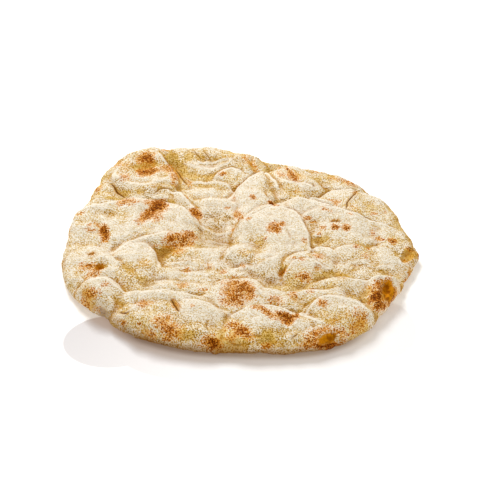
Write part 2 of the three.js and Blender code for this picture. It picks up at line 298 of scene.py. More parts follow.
def seen(px, py, lift=0.0):
    """The points of the dough that show at pixels of the 480 x 480 view, and the plan
    shifts in mm for one pixel to the right and one pixel up along the skin there."""
    px, py = np.atleast_1d(np.asarray(px, float)), np.atleast_1d(np.asarray(py, float))
    d = ray(px, py)
    t0, t1 = (38 - EYE[2]) / d[:, 2], (0 - EYE[2]) / d[:, 2]
    hit = np.ones(len(px))
    done = np.zeros(len(px), bool)
    for k in range(191):
        f = k / 190
        p = EYE + d * (t0 + (t1 - t0) * f)[:, None]
        new = ~done & (p[:, 2] <= sample(shown, p[:, 0], p[:, 1]) + lift)
        hit[new] = f
        done |= new
    p = EYE + d * (t0 + (t1 - t0) * hit)[:, None]
    gx, gy = sample(SLOPE_X, p[:, 0], p[:, 1]), sample(SLOPE_Y, p[:, 0], p[:, 1])
    gy = np.clip(gy, -.35, 1.2)
    gx = np.clip(gx, -1, 1)
    n = np.stack([-gx, -gy, np.ones_like(gx)], 1)
    out = []
    for du, dv in ((1.0, 0.0), (0.0, -1.0)):
        q = ray(px + du, py + dv)
        t = ((p - EYE) * n).sum(1) / (q * n).sum(1)
        out.append((EYE + q * t[:, None] - p)[:, :2])
    return p, out[0], out[1]


def window(x, y, reach):
    """The part of the grid within reach of a place."""
    i, j = (x + HALF) / STEP, (y + HALF) / STEP
    m = reach / STEP + 1
    return np.s_[max(0, int(j - m)):int(j + m) + 2, max(0, int(i - m)):int(i + m) + 2]


def marks_on_skin(marks, reach=1.0):
    """For each mark: its patch of the grid, and pixels right and up from its middle there."""
    p, r, u = seen([m[0] for m in marks], [m[1] for m in marks])
    for k, m in enumerate(marks):
        size = max(m[2], m[3]) * max(np.hypot(*r[k]), np.hypot(*u[k])) * 1.5 * reach + 4
        w = window(p[k, 0], p[k, 1], size)
        dx, dy = GX[w] - p[k, 0], GY[w] - p[k, 1]
        det = r[k, 0] * u[k, 1] - r[k, 1] * u[k, 0]
        yield m, w, (dx * u[k, 1] - dy * u[k, 0]) / det, (-dx * r[k, 1] + dy * r[k, 0]) / det


def turned(i, j, turn):
    c, s = math.cos(turn * RAD), math.sin(turn * RAD)
    return i * c + j * s, -i * s + j * c


def follow(points, lift=0.0, inside=0.0):
    """A smooth line on the dough through what shows at the given pixels. A crest is
    found from what shows a little inside it, on its right-hand side: the other side may be hidden."""
    q = np.array(points, float)
    run = np.gradient(q, axis=0)
    n = np.stack([-run[:, 1], run[:, 0]], 1) / (np.hypot(*run.T)[:, None] + 1e-9)
    pts = seen(q[:, 0] + inside * n[:, 0], q[:, 1] + inside * n[:, 1], lift)[0][:, :2]
    if inside:
        mm = DIST / F_PX
        pts = pts + inside * mm * np.stack([-n[:, 0], n[:, 1] / _sE * .8], 1)
        for _ in range(2):
            pts[1:-1] = .25 * pts[:-2] + .5 * pts[1:-1] + .25 * pts[2:]
    ext = np.vstack([2 * pts[0] - pts[1], pts, 2 * pts[-1] - pts[-2]])
    line = []
    for k in range(1, len(ext) - 2):
        a, b, c, d = ext[k - 1:k + 3]
        n = max(2, int(np.hypot(*(c - b)) / 2.5))
        for q in np.arange(n) / n:
            line.append(.5 * (2 * b + (c - a) * q + (2 * a - 5 * b + 4 * c - d) * q ** 2 + (3 * b - a - 3 * c + d) * q ** 3))
    line.append(pts[-1])
    return np.array(line)


def beside(line, reach):
    """Patch of the grid round a line, the distance from it (+ on its right-hand side)
    and how far along it each point is, 0 to 1."""
    lo, hi = line.min(0) - reach, line.max(0) + reach
    i0, j0 = ((lo + HALF) / STEP).astype(int)
    i1, j1 = ((hi + HALF) / STEP).astype(int) + 2
    w = np.s_[max(0, j0):j1, max(0, i0):i1]
    X, Y = GX[w], GY[w]
    near, side, where = np.full(X.shape, 1e9), np.ones(X.shape), np.zeros(X.shape)
    seg = line[1:] - line[:-1]
    length = np.hypot(*seg.T)
    total, run = length.sum(), 0.0
    turn_at = seg / length[:, None]
    bent = np.vstack([turn_at[:1], turn_at[1:] + turn_at[:-1], turn_at[-1:]])
    for k in range(len(seg)):
        dx, dy = X - line[k, 0], Y - line[k, 1]
        al = clip01((dx * seg[k, 0] + dy * seg[k, 1]) / length[k] ** 2)
        ex, ey = dx - al * seg[k, 0], dy - al * seg[k, 1]
        d = np.hypot(ex, ey)
        tx = np.where(al <= 0, bent[k, 0], np.where(al >= 1, bent[k + 1, 0], seg[k, 0]))
        ty = np.where(al <= 0, bent[k, 1], np.where(al >= 1, bent[k + 1, 1], seg[k, 1]))
        closer = d < near
        near = np.where(closer, d, near)
        side = np.where(closer, np.sign(ex * ty - ey * tx), side)
        where = np.where(closer, (run + al * length[k]) / total, where)
        run += length[k]
    return w, near * side, where


# ---------------------------------------------------------------- what shows where
# Places are pixels of the 480 x 480 view, found on the dough by seen(); turns are degrees
# anticlockwise in that view.
# crests of the dough's folds: pixels along the crest, height mm, how far it runs down
# on its right-hand side, how far on the other, dip behind it
FOLDS = [
    ([(60, 219), (75, 214), (87, 208), (103, 203), (125, 199), (144, 196), (159, 197), (171, 201), (180, 204), (189.5, 211), (195, 220), (196.5, 227)], 2.3, 9, 1.5, 1.2),
    ([(156, 149), (161, 157), (167, 162.5), (173, 167.5), (177, 174), (178.5, 181), (177, 187)], 3.0, 14, 1.5, 1.4),
    ([(166, 189), (173, 190.5), (180, 193.5), (186, 198), (192, 203.5), (197, 211)], 2.0, 8, 1.5, .8),
    ([(103, 254), (113, 247), (125, 243), (137, 239), (150, 235), (163, 231.5), (176, 229.5)], 1.5, 10, 2.5, .3),
    ([(126, 245), (137, 242.5), (147, 243), (154, 247), (157.5, 254), (159.5, 262), (160, 269)], 1.6, 10, 1.4, 1.0),
    ([(77.6, 294), (83, 284), (89, 279.5), (97, 277.5), (103, 277.5), (110, 279.5), (116, 285), (122, 289.5), (130, 291.5), (144, 292), (160, 290.5),
      (180, 290.5), (200, 291), (212, 295)], 2.0, 10, 1.6, .8),
    ([(114, 322), (121, 316), (129, 311), (136.5, 306), (144, 300.5)], 1.2, 12, 1.8, .4),
    ([(180, 299), (190, 300), (200, 301), (213, 302), (222, 308), (233, 313)], 1.5, 10, 1.8, .5),
    ([(232, 313.5), (240, 309.5), (247, 306), (254, 304), (262, 305), (270, 307), (287, 308.5), (295, 309.5), (301, 314), (311, 319), (320, 322.5),
      (328, 325.5)], 2.2, 12, 1.6, .8),
    ([(306, 312), (311, 304), (317.5, 297.5), (324.6, 294.8), (333, 296), (342.5, 298), (350, 299.5), (358.6, 302), (366, 306), (371, 311), (374, 318)],
     2.2, 12, 1.6, 1.0),
    ([(284, 298), (292, 293), (300, 290), (312, 289), (325, 289), (335, 290), (346, 292)], 1.6, 8, 1.8, .5),
    ([(247, 283), (256, 288.5), (264, 293), (272, 297.5), (280, 302)], 1.2, 7, 1.8, .4),
    ([(281, 281), (284, 273), (289, 264), (294, 259), (300, 257), (307, 257), (315.7, 260), (323, 264), (330, 271)], 2.0, 14, 1.5, 1.0),
    ([(330, 274), (338, 277.5), (351, 279.5), (367.5, 281), (376, 278), (384, 274.5)], 1.8, 8, 1.6, .8),
    ([(379, 278), (385, 274), (391, 278), (396, 283), (400, 288)], 1.6, 5, 1.6, .6),
    ([(361, 299.5), (367, 302), (374, 303.5), (381, 304), (386, 303)], .9, 4, 1.2, .6),
    ([(236, 231), (238.6, 225), (245.7, 217), (254.6, 211.4), (263, 207.5), (274, 206.5), (285, 206), (292, 207.5), (298, 212.5), (304, 221),
      (307.7, 230), (310, 240), (311, 248), (308, 256)], 1.8, 14, 1.5, 1.0),
    ([(272, 203), (280, 199.5), (290, 197.5), (300, 197), (311, 200), (328, 203.6), (346, 209), (357.7, 213.6), (369, 220.5), (378, 224), (386, 225.5),
      (397, 226.5), (404, 228)], 2.6, 13, 1.4, 1.8),
    ([(308.6, 199.5), (313, 196.5), (318.4, 193.7), (328, 190.6), (342.5, 188.8), (352, 189), (362, 190)], 2.0, 10, 1.5, .8),
    ([(226, 199), (234, 188.5), (240, 183.7), (248, 178.5), (254.6, 174), (262.7, 169.5)], 2.0, 12, 1.5, .8),
    ([(262.7, 169.5), (267, 173), (271.6, 177.5), (277, 184.6), (280, 190)], 2.0, 10, 1.5, 1.0),
    ([(212, 180), (216, 175), (220.7, 170.8), (226, 168.5), (231.4, 167.7), (238, 168.5), (244.8, 171)], 1.8, 9, 1.6, .8),
    ([(192, 160), (201, 162.5), (210, 164), (217, 161), (222.5, 158.8), (229, 157.5), (236, 157.5)], 1.6, 8, 2.0, .5),
    ([(186, 183), (192, 181.5), (200, 182), (212, 181.5), (222.5, 182), (230.5, 185.5), (233, 190)], 1.5, 8, 1.6, .6),
    ([(199, 199), (207, 197.5), (218, 197), (228, 198), (236, 201.5), (239, 207)], 1.3, 8, 1.6, .5),
    ([(281, 177), (284.6, 180), (291, 182.5), (301, 183.6), (311, 185), (317, 188)], 1.8, 10, 1.6, .6),
    ([(298, 220), (302, 215), (309.5, 210.7), (319, 208.2), (330, 208)], 1.3, 9, 2.0, .3),
    ([(311, 250), (313, 246), (322, 245), (331.5, 245.5), (333.5, 251)], 1.3, 7, 1.4, .8),
    ([(333, 250), (337, 247.5), (342.5, 245.5), (350, 244.2), (358, 244), (366, 246.5)], 1.3, 8, 1.5, .6),
    ([(367, 249), (372, 245), (380, 244), (390, 245), (398, 248)], 1.2, 8, 1.5, .6),
    ([(112, 184), (111, 177), (114, 169), (120, 162), (130, 155)], 1.3, 8, 1.4, .6),
    ([(113, 174), (118, 180), (128, 184), (140, 185.5), (152, 185), (163, 181.5), (171, 176)], 1.5, 7, 3.0, .6),
    ([(182, 160.5), (190, 164), (200, 168.5), (210, 170.5), (219, 168.5), (226, 163.5), (236, 159.5)], 1.5, 6, 3.0, .8),
    ([(166, 263), (173, 261), (182, 261.5), (191, 263), (198, 266)], 1.0, 5, 1.6, .4),
    ([(170, 272), (180, 270.5), (192, 271.5), (203, 274), (212, 273)], .9, 5, 1.6, .4),
    ([(155, 281), (166, 279), (178, 280.5), (190, 283.5), (203, 284)], .9, 5, 1.6, .4),
    ([(214, 281), (224, 277.5), (233, 279), (240, 282)], .9, 5, 1.6, .4),
    ([(231, 269), (238, 265.5), (246, 264.5), (253, 268), (258, 272)], 1.0, 5, 1.5, .4),
    ([(204, 240), (212, 238), (221, 240), (229, 244)], .9, 5, 1.6, .3),
    ([(186, 250), (196, 246), (206, 248), (215, 252)], .9, 5, 1.6, .4),
    ([(255, 268), (262, 262), (270, 259), (279, 256)], 1.1, 7, 1.8, .4),
    ([(196, 219), (203, 225), (210, 230.5), (219, 233), (228, 231), (234, 227)], 1.2, 6, 2.0, .2),
    ([(345, 262), (353, 259), (362, 259), (370, 262)], 1.0, 5, 1.5, .4),
    ([(374, 268), (383, 265), (392, 266), (399, 270)], 1.0, 5, 1.5, .4),
    ([(318, 281), (328, 278.5), (338, 279)], .8, 4, 1.5, .3),
    ([(300, 337), (306, 331), (314, 327.5), (324, 326)], .8, 7, 1.8, .3),
    ([(219, 262), (224, 256.5), (229.6, 251.5), (234, 247), (240, 244), (247, 245), (251, 249)], 1.4, 9, 1.6, .5),
]
# wrinkles: x, y, half length along the lines, half width across, bearing of the lines, spacing, height mm
WRINKLES = [
    (134, 170, 7, 7, -55, 4.0, .9), (201, 157, 9, 6, -42, 4.0, 1.1), (248, 163, 10, 9, -52, 3.6, 1.3),
    (285, 172, 9, 6, -50, 3.4, .9), (320, 180, 8, 8, 50, 2.9, .7), (392, 219, 5, 7, -48, 2.6, .8),
    (338, 318, 8, 12, 80, 3.0, 1.0), (108, 275, 6, 8, -40, 2.6, .7), (207, 233, 9, 6, -10, 3.2, .7),
    (387, 257, 7, 6, 88, 3.2, .8), (265, 334, 6, 12, 86, 2.6, .7), (143, 232, 14, 6, 21, 3.4, .5),
    (102, 306, 7, 5, -33, 3.0, .9), (344, 182, 12, 6, -22, 3.2, .8), (222, 160, 10, 6, 25, 3.6, .6),
    (190, 178, 6, 8, 0, 3.0, .5), (150, 282, 22, 6, 3, 3.4, .6), (215, 283, 16, 6, 8, 3.6, .6),
    (190, 262, 18, 7, -4, 3.8, .6), (300, 250, 6, 8, 62, 3.2, .6), (352, 262, 12, 8, 55, 3.6, .6),
    (240, 168, 8, 6, -30, 3.4, .6), (160, 150, 7, 4, 15, 2.8, .5), (96, 183, 8, 5, 52, 3.2, .6),
    (70, 240, 12, 4, 78, 3.0, .4), (400, 238, 9, 5, -60, 3.0, .5), (228, 196, 10, 5, 6, 3.2, .5),
]
# narrow creases and splits: points, width mm, depth mm, darkness of the painted shade along them
CREASES = [
    ([(111, 183), (115, 188.5), (119, 194), (125, 198)], .8, 1.3, 1.0),
    ([(175, 167), (178.5, 172.5), (182, 178), (185, 182.5), (188, 186)], .8, 1.2, .85),
    ([(154.5, 193), (158, 189.5), (163, 187.3), (170, 189.3)], .8, 1.6, .7),
    ([(356.5, 192.5), (352, 196), (348, 201), (346.5, 206), (346.3, 209)], .55, 1.2, .85),
    ([(171, 298.5), (173.5, 302.5), (176, 306.5), (179.3, 311)], 1.0, 2.6, 1.0),
    ([(331, 221.7), (336, 220.7), (341, 221.5)], .8, 2.2, .9),
    ([(88, 255), (91.5, 253.6), (96, 253.3)], .8, 2.2, .9),
    ([(120, 311.6), (126, 312.8), (130.5, 311)], .8, 1.2, .8),
    ([(98.5, 302.8), (103, 304.8), (107, 307)], .7, .7, .45),
    ([(290.8, 339.6), (294, 336.5), (298, 333.3)], .9, 2.0, .55),
    ([(360.3, 297.8), (361.3, 300.5), (362.5, 303.3)], .8, 2.0, .5),
    ([(311, 184.2), (314, 185.3), (313.8, 187.6)], .8, 1.8, .5),
    ([(203, 149.5), (208, 156), (213, 162)], .7, 1.2, .5),
    ([(192, 149.5), (198, 155.5), (205, 160.5), (212, 163)], .7, 1.3, .6),
    ([(264, 190), (267.5, 194.5), (271, 199)], 1.0, 1.8, .3),
    ([(286, 228.5), (289.5, 234), (291, 240)], .9, 1.2, .15),
    ([(408, 249), (411, 250.7), (414, 252.3)], .9, 2.0, 1.0),
    ([(253, 335.5), (257, 334.5), (262, 336.5)], .9, 1.6, .4),
    ([(227, 341), (235, 344), (243, 343.5)], .9, 2.0, .5),
    ([(209, 318.5), (206.5, 323), (207.5, 328), (211, 331.5)], .8, 1.0, .35),
    ([(95, 302), (103, 306), (111, 310), (119, 312.3)], .7, .8, .35),
    ([(99, 308), (107, 312.5), (115, 317)], .7, .8, .3),
    ([(236, 231.5), (237.5, 226), (242, 221)], .8, 1.2, .5),
    ([(195, 222), (197.5, 226.5), (203, 230)], .8, 1.0, .3),
]
# sunken places and open bubbles: x, y, half width, half height, turn, depth mm, rim mm
PITS = [
    (100, 268.5, 4.6, 3.0, 14, 1.2, .5), (287, 318, 9.5, 4.6, -14, 2.0, .5),
    (327, 338, 10.5, 6.5, 24, 2.4, .9), (385, 293, 6.0, 9.5, -12, 2.6, .9),
    (376.5, 295.5, 5.5, 7.0, 10, 1.2, .3), (168, 252.5, 9.0, 5.5, 10, .6, .2),
    (318, 240, 5.0, 5.0, 20, 1.4, .2),
     (119, 258.5, 5.0, 2.4, -8, .9, .4),
    (282, 273, 5.5, 2.0, 42, 1.8, .2), (317, 268, 5.0, 4.0, 15, .7, .2),
    (178, 188, 4.0, 3.0, -40, 1.4, .2), (405, 258, 5.0, 7.0, -15, 1.1, .7),
]
# soft hollows: x, y, half width, half height, turn, depth mm
DIPS = [
    (216, 219, 15, 11, 0, 4.4), (217, 227, 7, 5, 0, 2.0), (262, 242, 9, 7, 0, 1.8), (177, 165, 8, 8, -35, 2.2), (197, 174, 13, 5, 0, 1.2), (150, 170, 16, 5, 8, 1.3),
    (129, 268, 12, 8, 0, 1.8), (110, 213, 12, 5, 0, .9), (322, 238, 9, 6, 0, .8), (300, 268, 5, 4, 0, .6), (232, 180, 9, 4, 0, 1.0), (268, 190, 5, 6, 30, 1.2),
    (160, 277, 7, 5, 0, 1.2), (212, 322, 6, 7, 0, 1.4), (275, 285, 9, 5, -30, 1.2), (350, 268, 12, 4, 0, 1.2), (376, 262, 5, 5, 0, 1.2),
    (334, 262, 5, 5, 30, 1.3), (300, 300, 10, 5, 0, 1.0), (225, 305, 8, 4, 10, 1.0), (196, 256, 10, 4, 0, .9), (214, 279, 8, 4, 0, .9),
    (256, 334, 6, 5, 0, .9), (283, 334, 5, 5, 0, .8), (186, 338, 6, 6, 0, .9), (138, 326, 5, 6, 0, .8), (120, 306, 9, 5, -25, 1.0),
    (350, 322, 5, 6, 0, .9), (96, 240, 9, 5, 0, .8), (140, 232, 12, 4, 20, .8), (372, 232, 6, 5, 0, .8), (292, 192, 10, 4, 0, 1.0),
]
# where flour lies thick, and painted light that brightens shaded walls and slopes: x, y, half width, half height, turn,
# strength
FLOUR_AND_LIGHT = [
    (150, 218, 38, 14, 15, .35), (124, 256, 24, 7, 5, .40), (128, 287, 26, 7, -8, .50), (134, 301, 24, 7, -14, .55), (205, 309, 34, 11, -8, .60), (268, 322, 30, 7, -14, .40),
    (278, 232, 26, 22, 0, .35), (350, 226, 34, 13, -12, .55), (288, 240, 15, 13, 0, .40), (255, 205, 12, 6, 0, .2), (252, 190, 11, 13, 20, .40), (214, 200, 26, 12, 0, .40), (212, 165, 24, 5, -8, .45), (201, 168.5, 17, 5, -4, .60),
    (146, 181, 24, 4.5, 6, .50), (316, 292, 32, 4.5, 2, .35), (342, 303, 20, 8, -8, .35), (300, 262, 12, 5, 0, .30), (240, 250, 12, 5, 20, .35),
    (340, 250, 24, 4, 0, .30), (385, 250, 12, 5, 0, .25), (75, 250, 10, 20, 0, .20), (195, 190, 14, 4, 0, .35), (113, 316, 11, 8, -35, 1.0), (146, 247, 9, 3, 12, .5), (373, 315, 6, 10, -20, .90), (361, 293, 8, 7, 0, .70), (77, 293, 5, 8, 0, .75),
    (405, 272, 7, 8, 0, .90), (371, 243, 8, 5, 0, .75), (399, 287, 5, 8, 0, .85), (406, 245, 5, 4, 0, .6), (401, 253, 4, 6, 0, .5), (264, 280, 9, 5, 0, .45), (318, 270, 8, 5, 0, .45), (354, 264, 9, 4, 0, .45), (116, 303, 8, 5, -20, .5), (150, 248, 9, 3, 15, .6), (295, 308, 9, 4, 0, .45), (275, 198, 8, 5, 30, .55),
    (116, 296, 8, 5, 0, .45), (126, 318, 8, 6, 0, .40), (345, 329, 5, 5, 0, .3), (300, 302, 10, 6, 0, .40), (312, 327, 7, 4, 0, .40), (348, 292, 14, 5, 0, .80),
    (217, 325, 7, 8, 0, .80), (158, 299, 14, 5, 0, .80), (398, 250, 5, 5, 0, .50), (282, 280, 7, 5, 0, .80), (182, 296, 20, 5, 0, .35),
]
# scorch marks: x, y, half width, half height, turn, strength
SCORCH = [
    (146.5, 158.8, 8.5, 7, 0, .95), (149, 172, 13, 3.8, 17, .74), (140, 171, 5, 3.6, 20, .5), (167, 169, 9, 5, -20, .50), (174.5, 178, 4, 9, 0, .48),
    (125, 177.5, 6, 5, 0, .32), (119, 164, 5, 5, 0, .18), (122.7, 202, 6.5, 3.4, 28, .52), (156.5, 206, 11.5, 6, 42, .98), (162, 207, 8, 6, 30, .6), (148, 214.5, 8, 5, 42, .72),
    (141, 219.5, 8, 4.5, 36, .36), (103.5, 229.5, 5.6, 5.4, -40, .98), (106, 236.5, 4.6, 6, -20, .84), (97, 224.5, 5, 1.7, -40, .5), (91, 230.3, 7, 1.8, -5, .4), (89, 225, 3, 1.8, 0, .4),
    (98.3, 189, 5, 3.5, 55, .45), (80.7, 213.5, 5, 1.5, 22, .5), (171.5, 238.8, 7.5, 6, 15, .80), (156, 245.3, 7, 1.1, 12, .25), (174, 246, 13, 1.7, 4, .5),
    (185, 239.3, 11.5, 8.3, 22, .70), (191, 233.8, 5, 3.5, 30, .45), (91.4, 253.8, 4, 1.3, 8, .7), (90, 266.8, 8, 4, 0, .5), (83, 265, 4, 3.5, 0, .4),
    (97, 271, 6, 3, 0, .45), (87, 278, 4, 2.4, -30, .34), (91, 293.6, 8.5, 7.5, 0, .62), (86.8, 305, 7, 5.5, -25, .48), (97, 309, 5, 3.5, -30, .4), (106, 284.4, 5, 2.8, 0, .28),
    (144, 303.5, 8, 4, 14, .42), (176, 305, 3.5, 6, 30, .62), (123.6, 322.6, 3.4, 3.2, 0, .55), (139.6, 323.8, 2.2, 1.7, 0, .5),
    (161, 319, 10, 5, 10, .38), (169, 327.5, 13, 6, -4, .62), (171, 334, 9, 6, 0, .55), (151.8, 334.5, 8, 4, -18, .55), (165.5, 339, 5, 3, 0, .5),
    (192, 305.4, 2.6, 1.8, 0, .5), (186.8, 270.5, 4.5, 2.8, 20, .45), (210, 266, 5, 3, 0, .28), (224, 272, 4, 2.4, 0, .42), (243, 265, 3.6, 3, 0, .28),
    (182, 284.8, 7, 3, 0, .3), (203, 289.5, 5, 1.6, 0, .28), (239, 291, 16.5, 11.5, -8, .70), (233, 300, 9, 6, 0, .5), (246, 287, 9, 5, -15, .5),
    (235, 325, 9, 4, -8, .42), (241.5, 332, 8, 5, -5, .8), (212.5, 343, 10.5, 8, 0, .88), (266, 346.3, 6, 3.4, 0, .72), (225, 329, 4, 2, 0, .3),
    (285, 315.5, 9.5, 4.2, -14, .95), (288.5, 320, 7, 5, 20, .95), (296.5, 316, 4, 3.2, 0, .85), (99.5, 268, 4.6, 3.2, 12, .8), (267, 312.5, 10, 3.2, -35, .55), (257.3, 306.5, 6, 3, -10, .36), (276, 300, 10, 4, -6, .34), (294, 296.4, 5, 4, 0, .26),
    (283, 272.3, 5.5, 2.2, 40, .5), (297.5, 277, 5, 4, 0, .3), (305, 277, 7, 5.4, 0, .62), (317.5, 267.9, 6, 4.4, 20, .18), (302, 258.6, 5, 1.8, 0, .28),
    (322, 302.7, 5, 4.4, 0, .5), (310, 291, 5, 3.2, 0, .26), (293, 294.6, 5, 3, 0, .26), (360, 315, 9, 8, 0, .30), (357, 326, 10, 7, 20, .36), (350, 333, 8, 4, 20, .28),
    (311, 338, 9, 8.5, 20, .44), (322, 331, 10, 4, 18, .5), (336, 330, 9, 3.6, -10, .38), (343, 337, 4.5, 7, 0, .36), (326, 346, 13, 3.6, 6, .85), (335.4, 334.4, 1.8, 1.8, 0, 1.0), (325.5, 346.6, 3, 1.4, 0, .95),
    (377.5, 294.5, 7.8, 10.5, 0, 1.0), (375.5, 298, 5, 5.5, 0, .7), (391, 296, 5, 9, -12, .55), (379, 283, 5, 5, 0, .48), (388, 279.5, 5, 3, 0, .28), (395, 295, 3.2, 8, 0, .6), (382, 306, 10, 5, 0, .78), (390, 303, 5, 5, 0, .55), (371, 302, 4, 3, -10, .3),
    (409, 255.5, 6.5, 7.5, 0, .06), (409.5, 250, 5, 1.4, -30, .95), (417, 258, 2, 6.5, 0, .95), (405, 262, 4, 4, 0, .22), (409.8, 273, 1.8, 5, -15, .55), (405.5, 283, 1.8, 5, -20, .5),
    (294, 177, 8, 4.2, -48, .68), (289, 170.5, 8, 2.2, -50, .52), (316.6, 171.4, 6, 2.2, 0, .28), (349.6, 183, 9, 2.8, -20, .38), (336, 179, 8, 2.6, -12, .24), (298, 191.4, 3.4, 2, -20, .32),
    (356, 192, 4.6, 2.2, 33, .55), (336, 202.7, 4.6, 4.2, 0, .38), (330, 200, 3, 2, 0, .2), (326.4, 209.4, 6.5, 1.8, -18, .5), (350.5, 213.8, 3.4, 1.2, -12, .34), (306.8, 217.9, 4.6, 1.8, 0, .4), (313, 222.3, 4.6, 1.3, 18, .34),
    (336, 221, 5.4, 1.4, 0, .8), (335.4, 227, 5, 3.4, 0, .74), (346, 227.7, 5, 3.4, 0, .7), (322.9, 227.7, 3.3, 2.8, 0, .46), (319.3, 234, 2.8, 2, 40, .44),
    (282, 224.3, 4, 3.4, 20, .66), (274, 227, 6.4, 5, 10, .56), (277, 231, 4, 3, 0, .4), (265.4, 238, 2.2, 2.4, 0, .38), (252.9, 197.2, 3.5, 3, 0, .62), (271, 203.4, 3.6, 3.0, -20, .98), (275.5, 205, 3.6, 1.2, 0, .5),
    (238.3, 215, 5.6, 4.4, -20, .55), (242.6, 218, 2, 3.4, 30, .62), (227, 208, 3, 1.8, 0, .24), (195.5, 213.5, 5.4, 6.8, 40, 1.0), (199.5, 216, 3, 3, 0, .4), (222.5, 173.6, 5, 2.8, 14, .56),
    (237, 186, 4, 1.4, 12, .5), (235, 198, 2.4, 1.4, 0, .34), (187, 197, 2, 1.8, 0, .38), (248.4, 218.8, 3.6, 1.7, 18, .4), (233, 230.3, 2.6, 1.7, 10, .44), (278.8, 167.7, 2.4, 1.7, 0, .4), (280.5, 174, 4.4, 3, -40, .34),
    (165, 149.8, 5, 1.8, 10, .42), (385.4, 212, 1.9, 1.9, 0, .5), (373.8, 213.8, 4, 2.2, 0, .34), (372.6, 234, 2.6, 4.4, 10, .30), (379, 238.8, 4.8, 1.8, -5, .44), (393, 241, 5, 3.3, -6, .7),
    (356.8, 246.4, 4, 2.3, 0, .4), (368.5, 248.8, 2.4, 1.8, -30, .5), (304, 240, 3.4, 2.4, -30, .46), (318.6, 256, 5.5, 3.2, 0, .42), (365.7, 255.4, 5, 3.4, 0, .26), (293.4, 258, 3.6, 1.3, 10, .46),
    (189, 183, 5, 3, -40, .3), (249, 337, 6, 5, 0, .34), (132, 202, 9, 3, 5, .32), (309, 345, 9, 5, 10, .60), (322, 345.5, 8, 3.5, 5, .5), (147, 203, 6, 4, 30, .40), (226, 301, 7, 5, 0, .38), (93, 274.5, 7, 2.6, 0, .28), (158, 216, 8, 5, 35, .34), (126, 200, 7, 3, 10, .34), (178, 251, 7, 4, 0, .3), (231, 338, 7, 5, 0, .42), (236, 304, 7, 3.5, 0, .30), (96, 276, 6, 3, 0, .3), (262, 150.5, 4, 2, -20, .2), (254, 167, 8, 3, -55, .3), (247, 160, 7, 3, -50, .24),
]
# painted shade: greenish grey in the hollows, where shade falls: x, y, half width, half height, turn, strength
SHADED_HOLLOWS = [
    (171, 160, 7, 8, -40, .95), (181, 171, 4.5, 8, 30, .85), (198, 177, 14, 3.6, 0, .45), (108, 213, 13, 7, -5, .5), (146, 191.5, 30, 4.5, 3, .7),
    (217, 225, 10, 7, 0, 1.35), (206, 219, 7, 5, -40, .6), (227, 221, 7, 6, 30, .6), (214, 217, 18, 10, 0, .6), (260, 242, 9, 8, 0, .55), (252, 236, 7, 5, 0, .4), (169, 254, 8, 6, 10, .35),
    (128, 268, 14, 9, 0, .6), (140, 276, 12, 4.5, 0, .28), (196, 248, 10, 6, 0, .5), (235, 256, 9, 6, 0, .5), (322, 240, 9, 6, 0, .28), (312, 232, 4, 8, 0, .3),
    (367, 209, 13, 8, -30, .5), (268, 335, 16, 9, 0, 1.2), (188, 331, 11, 8, 0, .85), (222, 338, 6, 5, 0, .5), (330, 180, 12, 8, 0, .6), (216, 198, 9, 4, 0, .3),
    (268, 190, 5, 8, 30, .6), (291, 193, 12, 5, 0, .4), (232, 180, 10, 4, -30, .3), (120, 302, 14, 5, -20, .28),
    (283, 269, 7, 5, 50, .55), (345, 272, 18, 6, 0, .52), (325, 272, 8, 5, 20, .35), (312, 285, 14, 5, 0, .3), (180, 252, 12, 5, 0, .7), (245, 254, 10, 6, 0, .7), (250, 339, 9, 6, 0, .6), (130, 201, 9, 4, 0, .5), (101, 200, 12, 4.5, 15, 1.2), (194, 251, 10, 5, 0, .5), (258, 261, 10, 5, 0, .5), (246, 255, 9, 5, 0, .5), (345, 279, 8, 4, 0, .45), (325, 260, 6, 4, 0, .4), (320, 283, 9, 4, 0, .5), (337, 283, 9, 4, 0, .5), (155, 185, 8, 4, 0, .4), (248, 213, 7, 4, 30, .8), (178, 252, 9, 5, 0, .5), (162, 269, 8, 4, 0, .6), (82, 220, 7, 6, 30, .5), (258, 260, 9, 4, 0, .5), (134, 200, 11, 4, 5, .4), (225, 305, 8, 5, 0, .4),
    (360, 252, 9, 6, 60, .4), (376, 263, 6, 6, 0, .3), (204, 262, 30, 11, 0, .30), (340, 315, 14, 8, 0, .12), (352, 331, 6, 6, 0, .3), (245, 343, 10, 4, 0, .6),
    (294, 341, 8, 5, 0, .4), (204, 326, 8, 5, 0, .4), (178, 262, 12, 5, 0, .4), (88, 284, 6, 4, -30, .4), (112, 285, 8, 5, -30, .4),
]
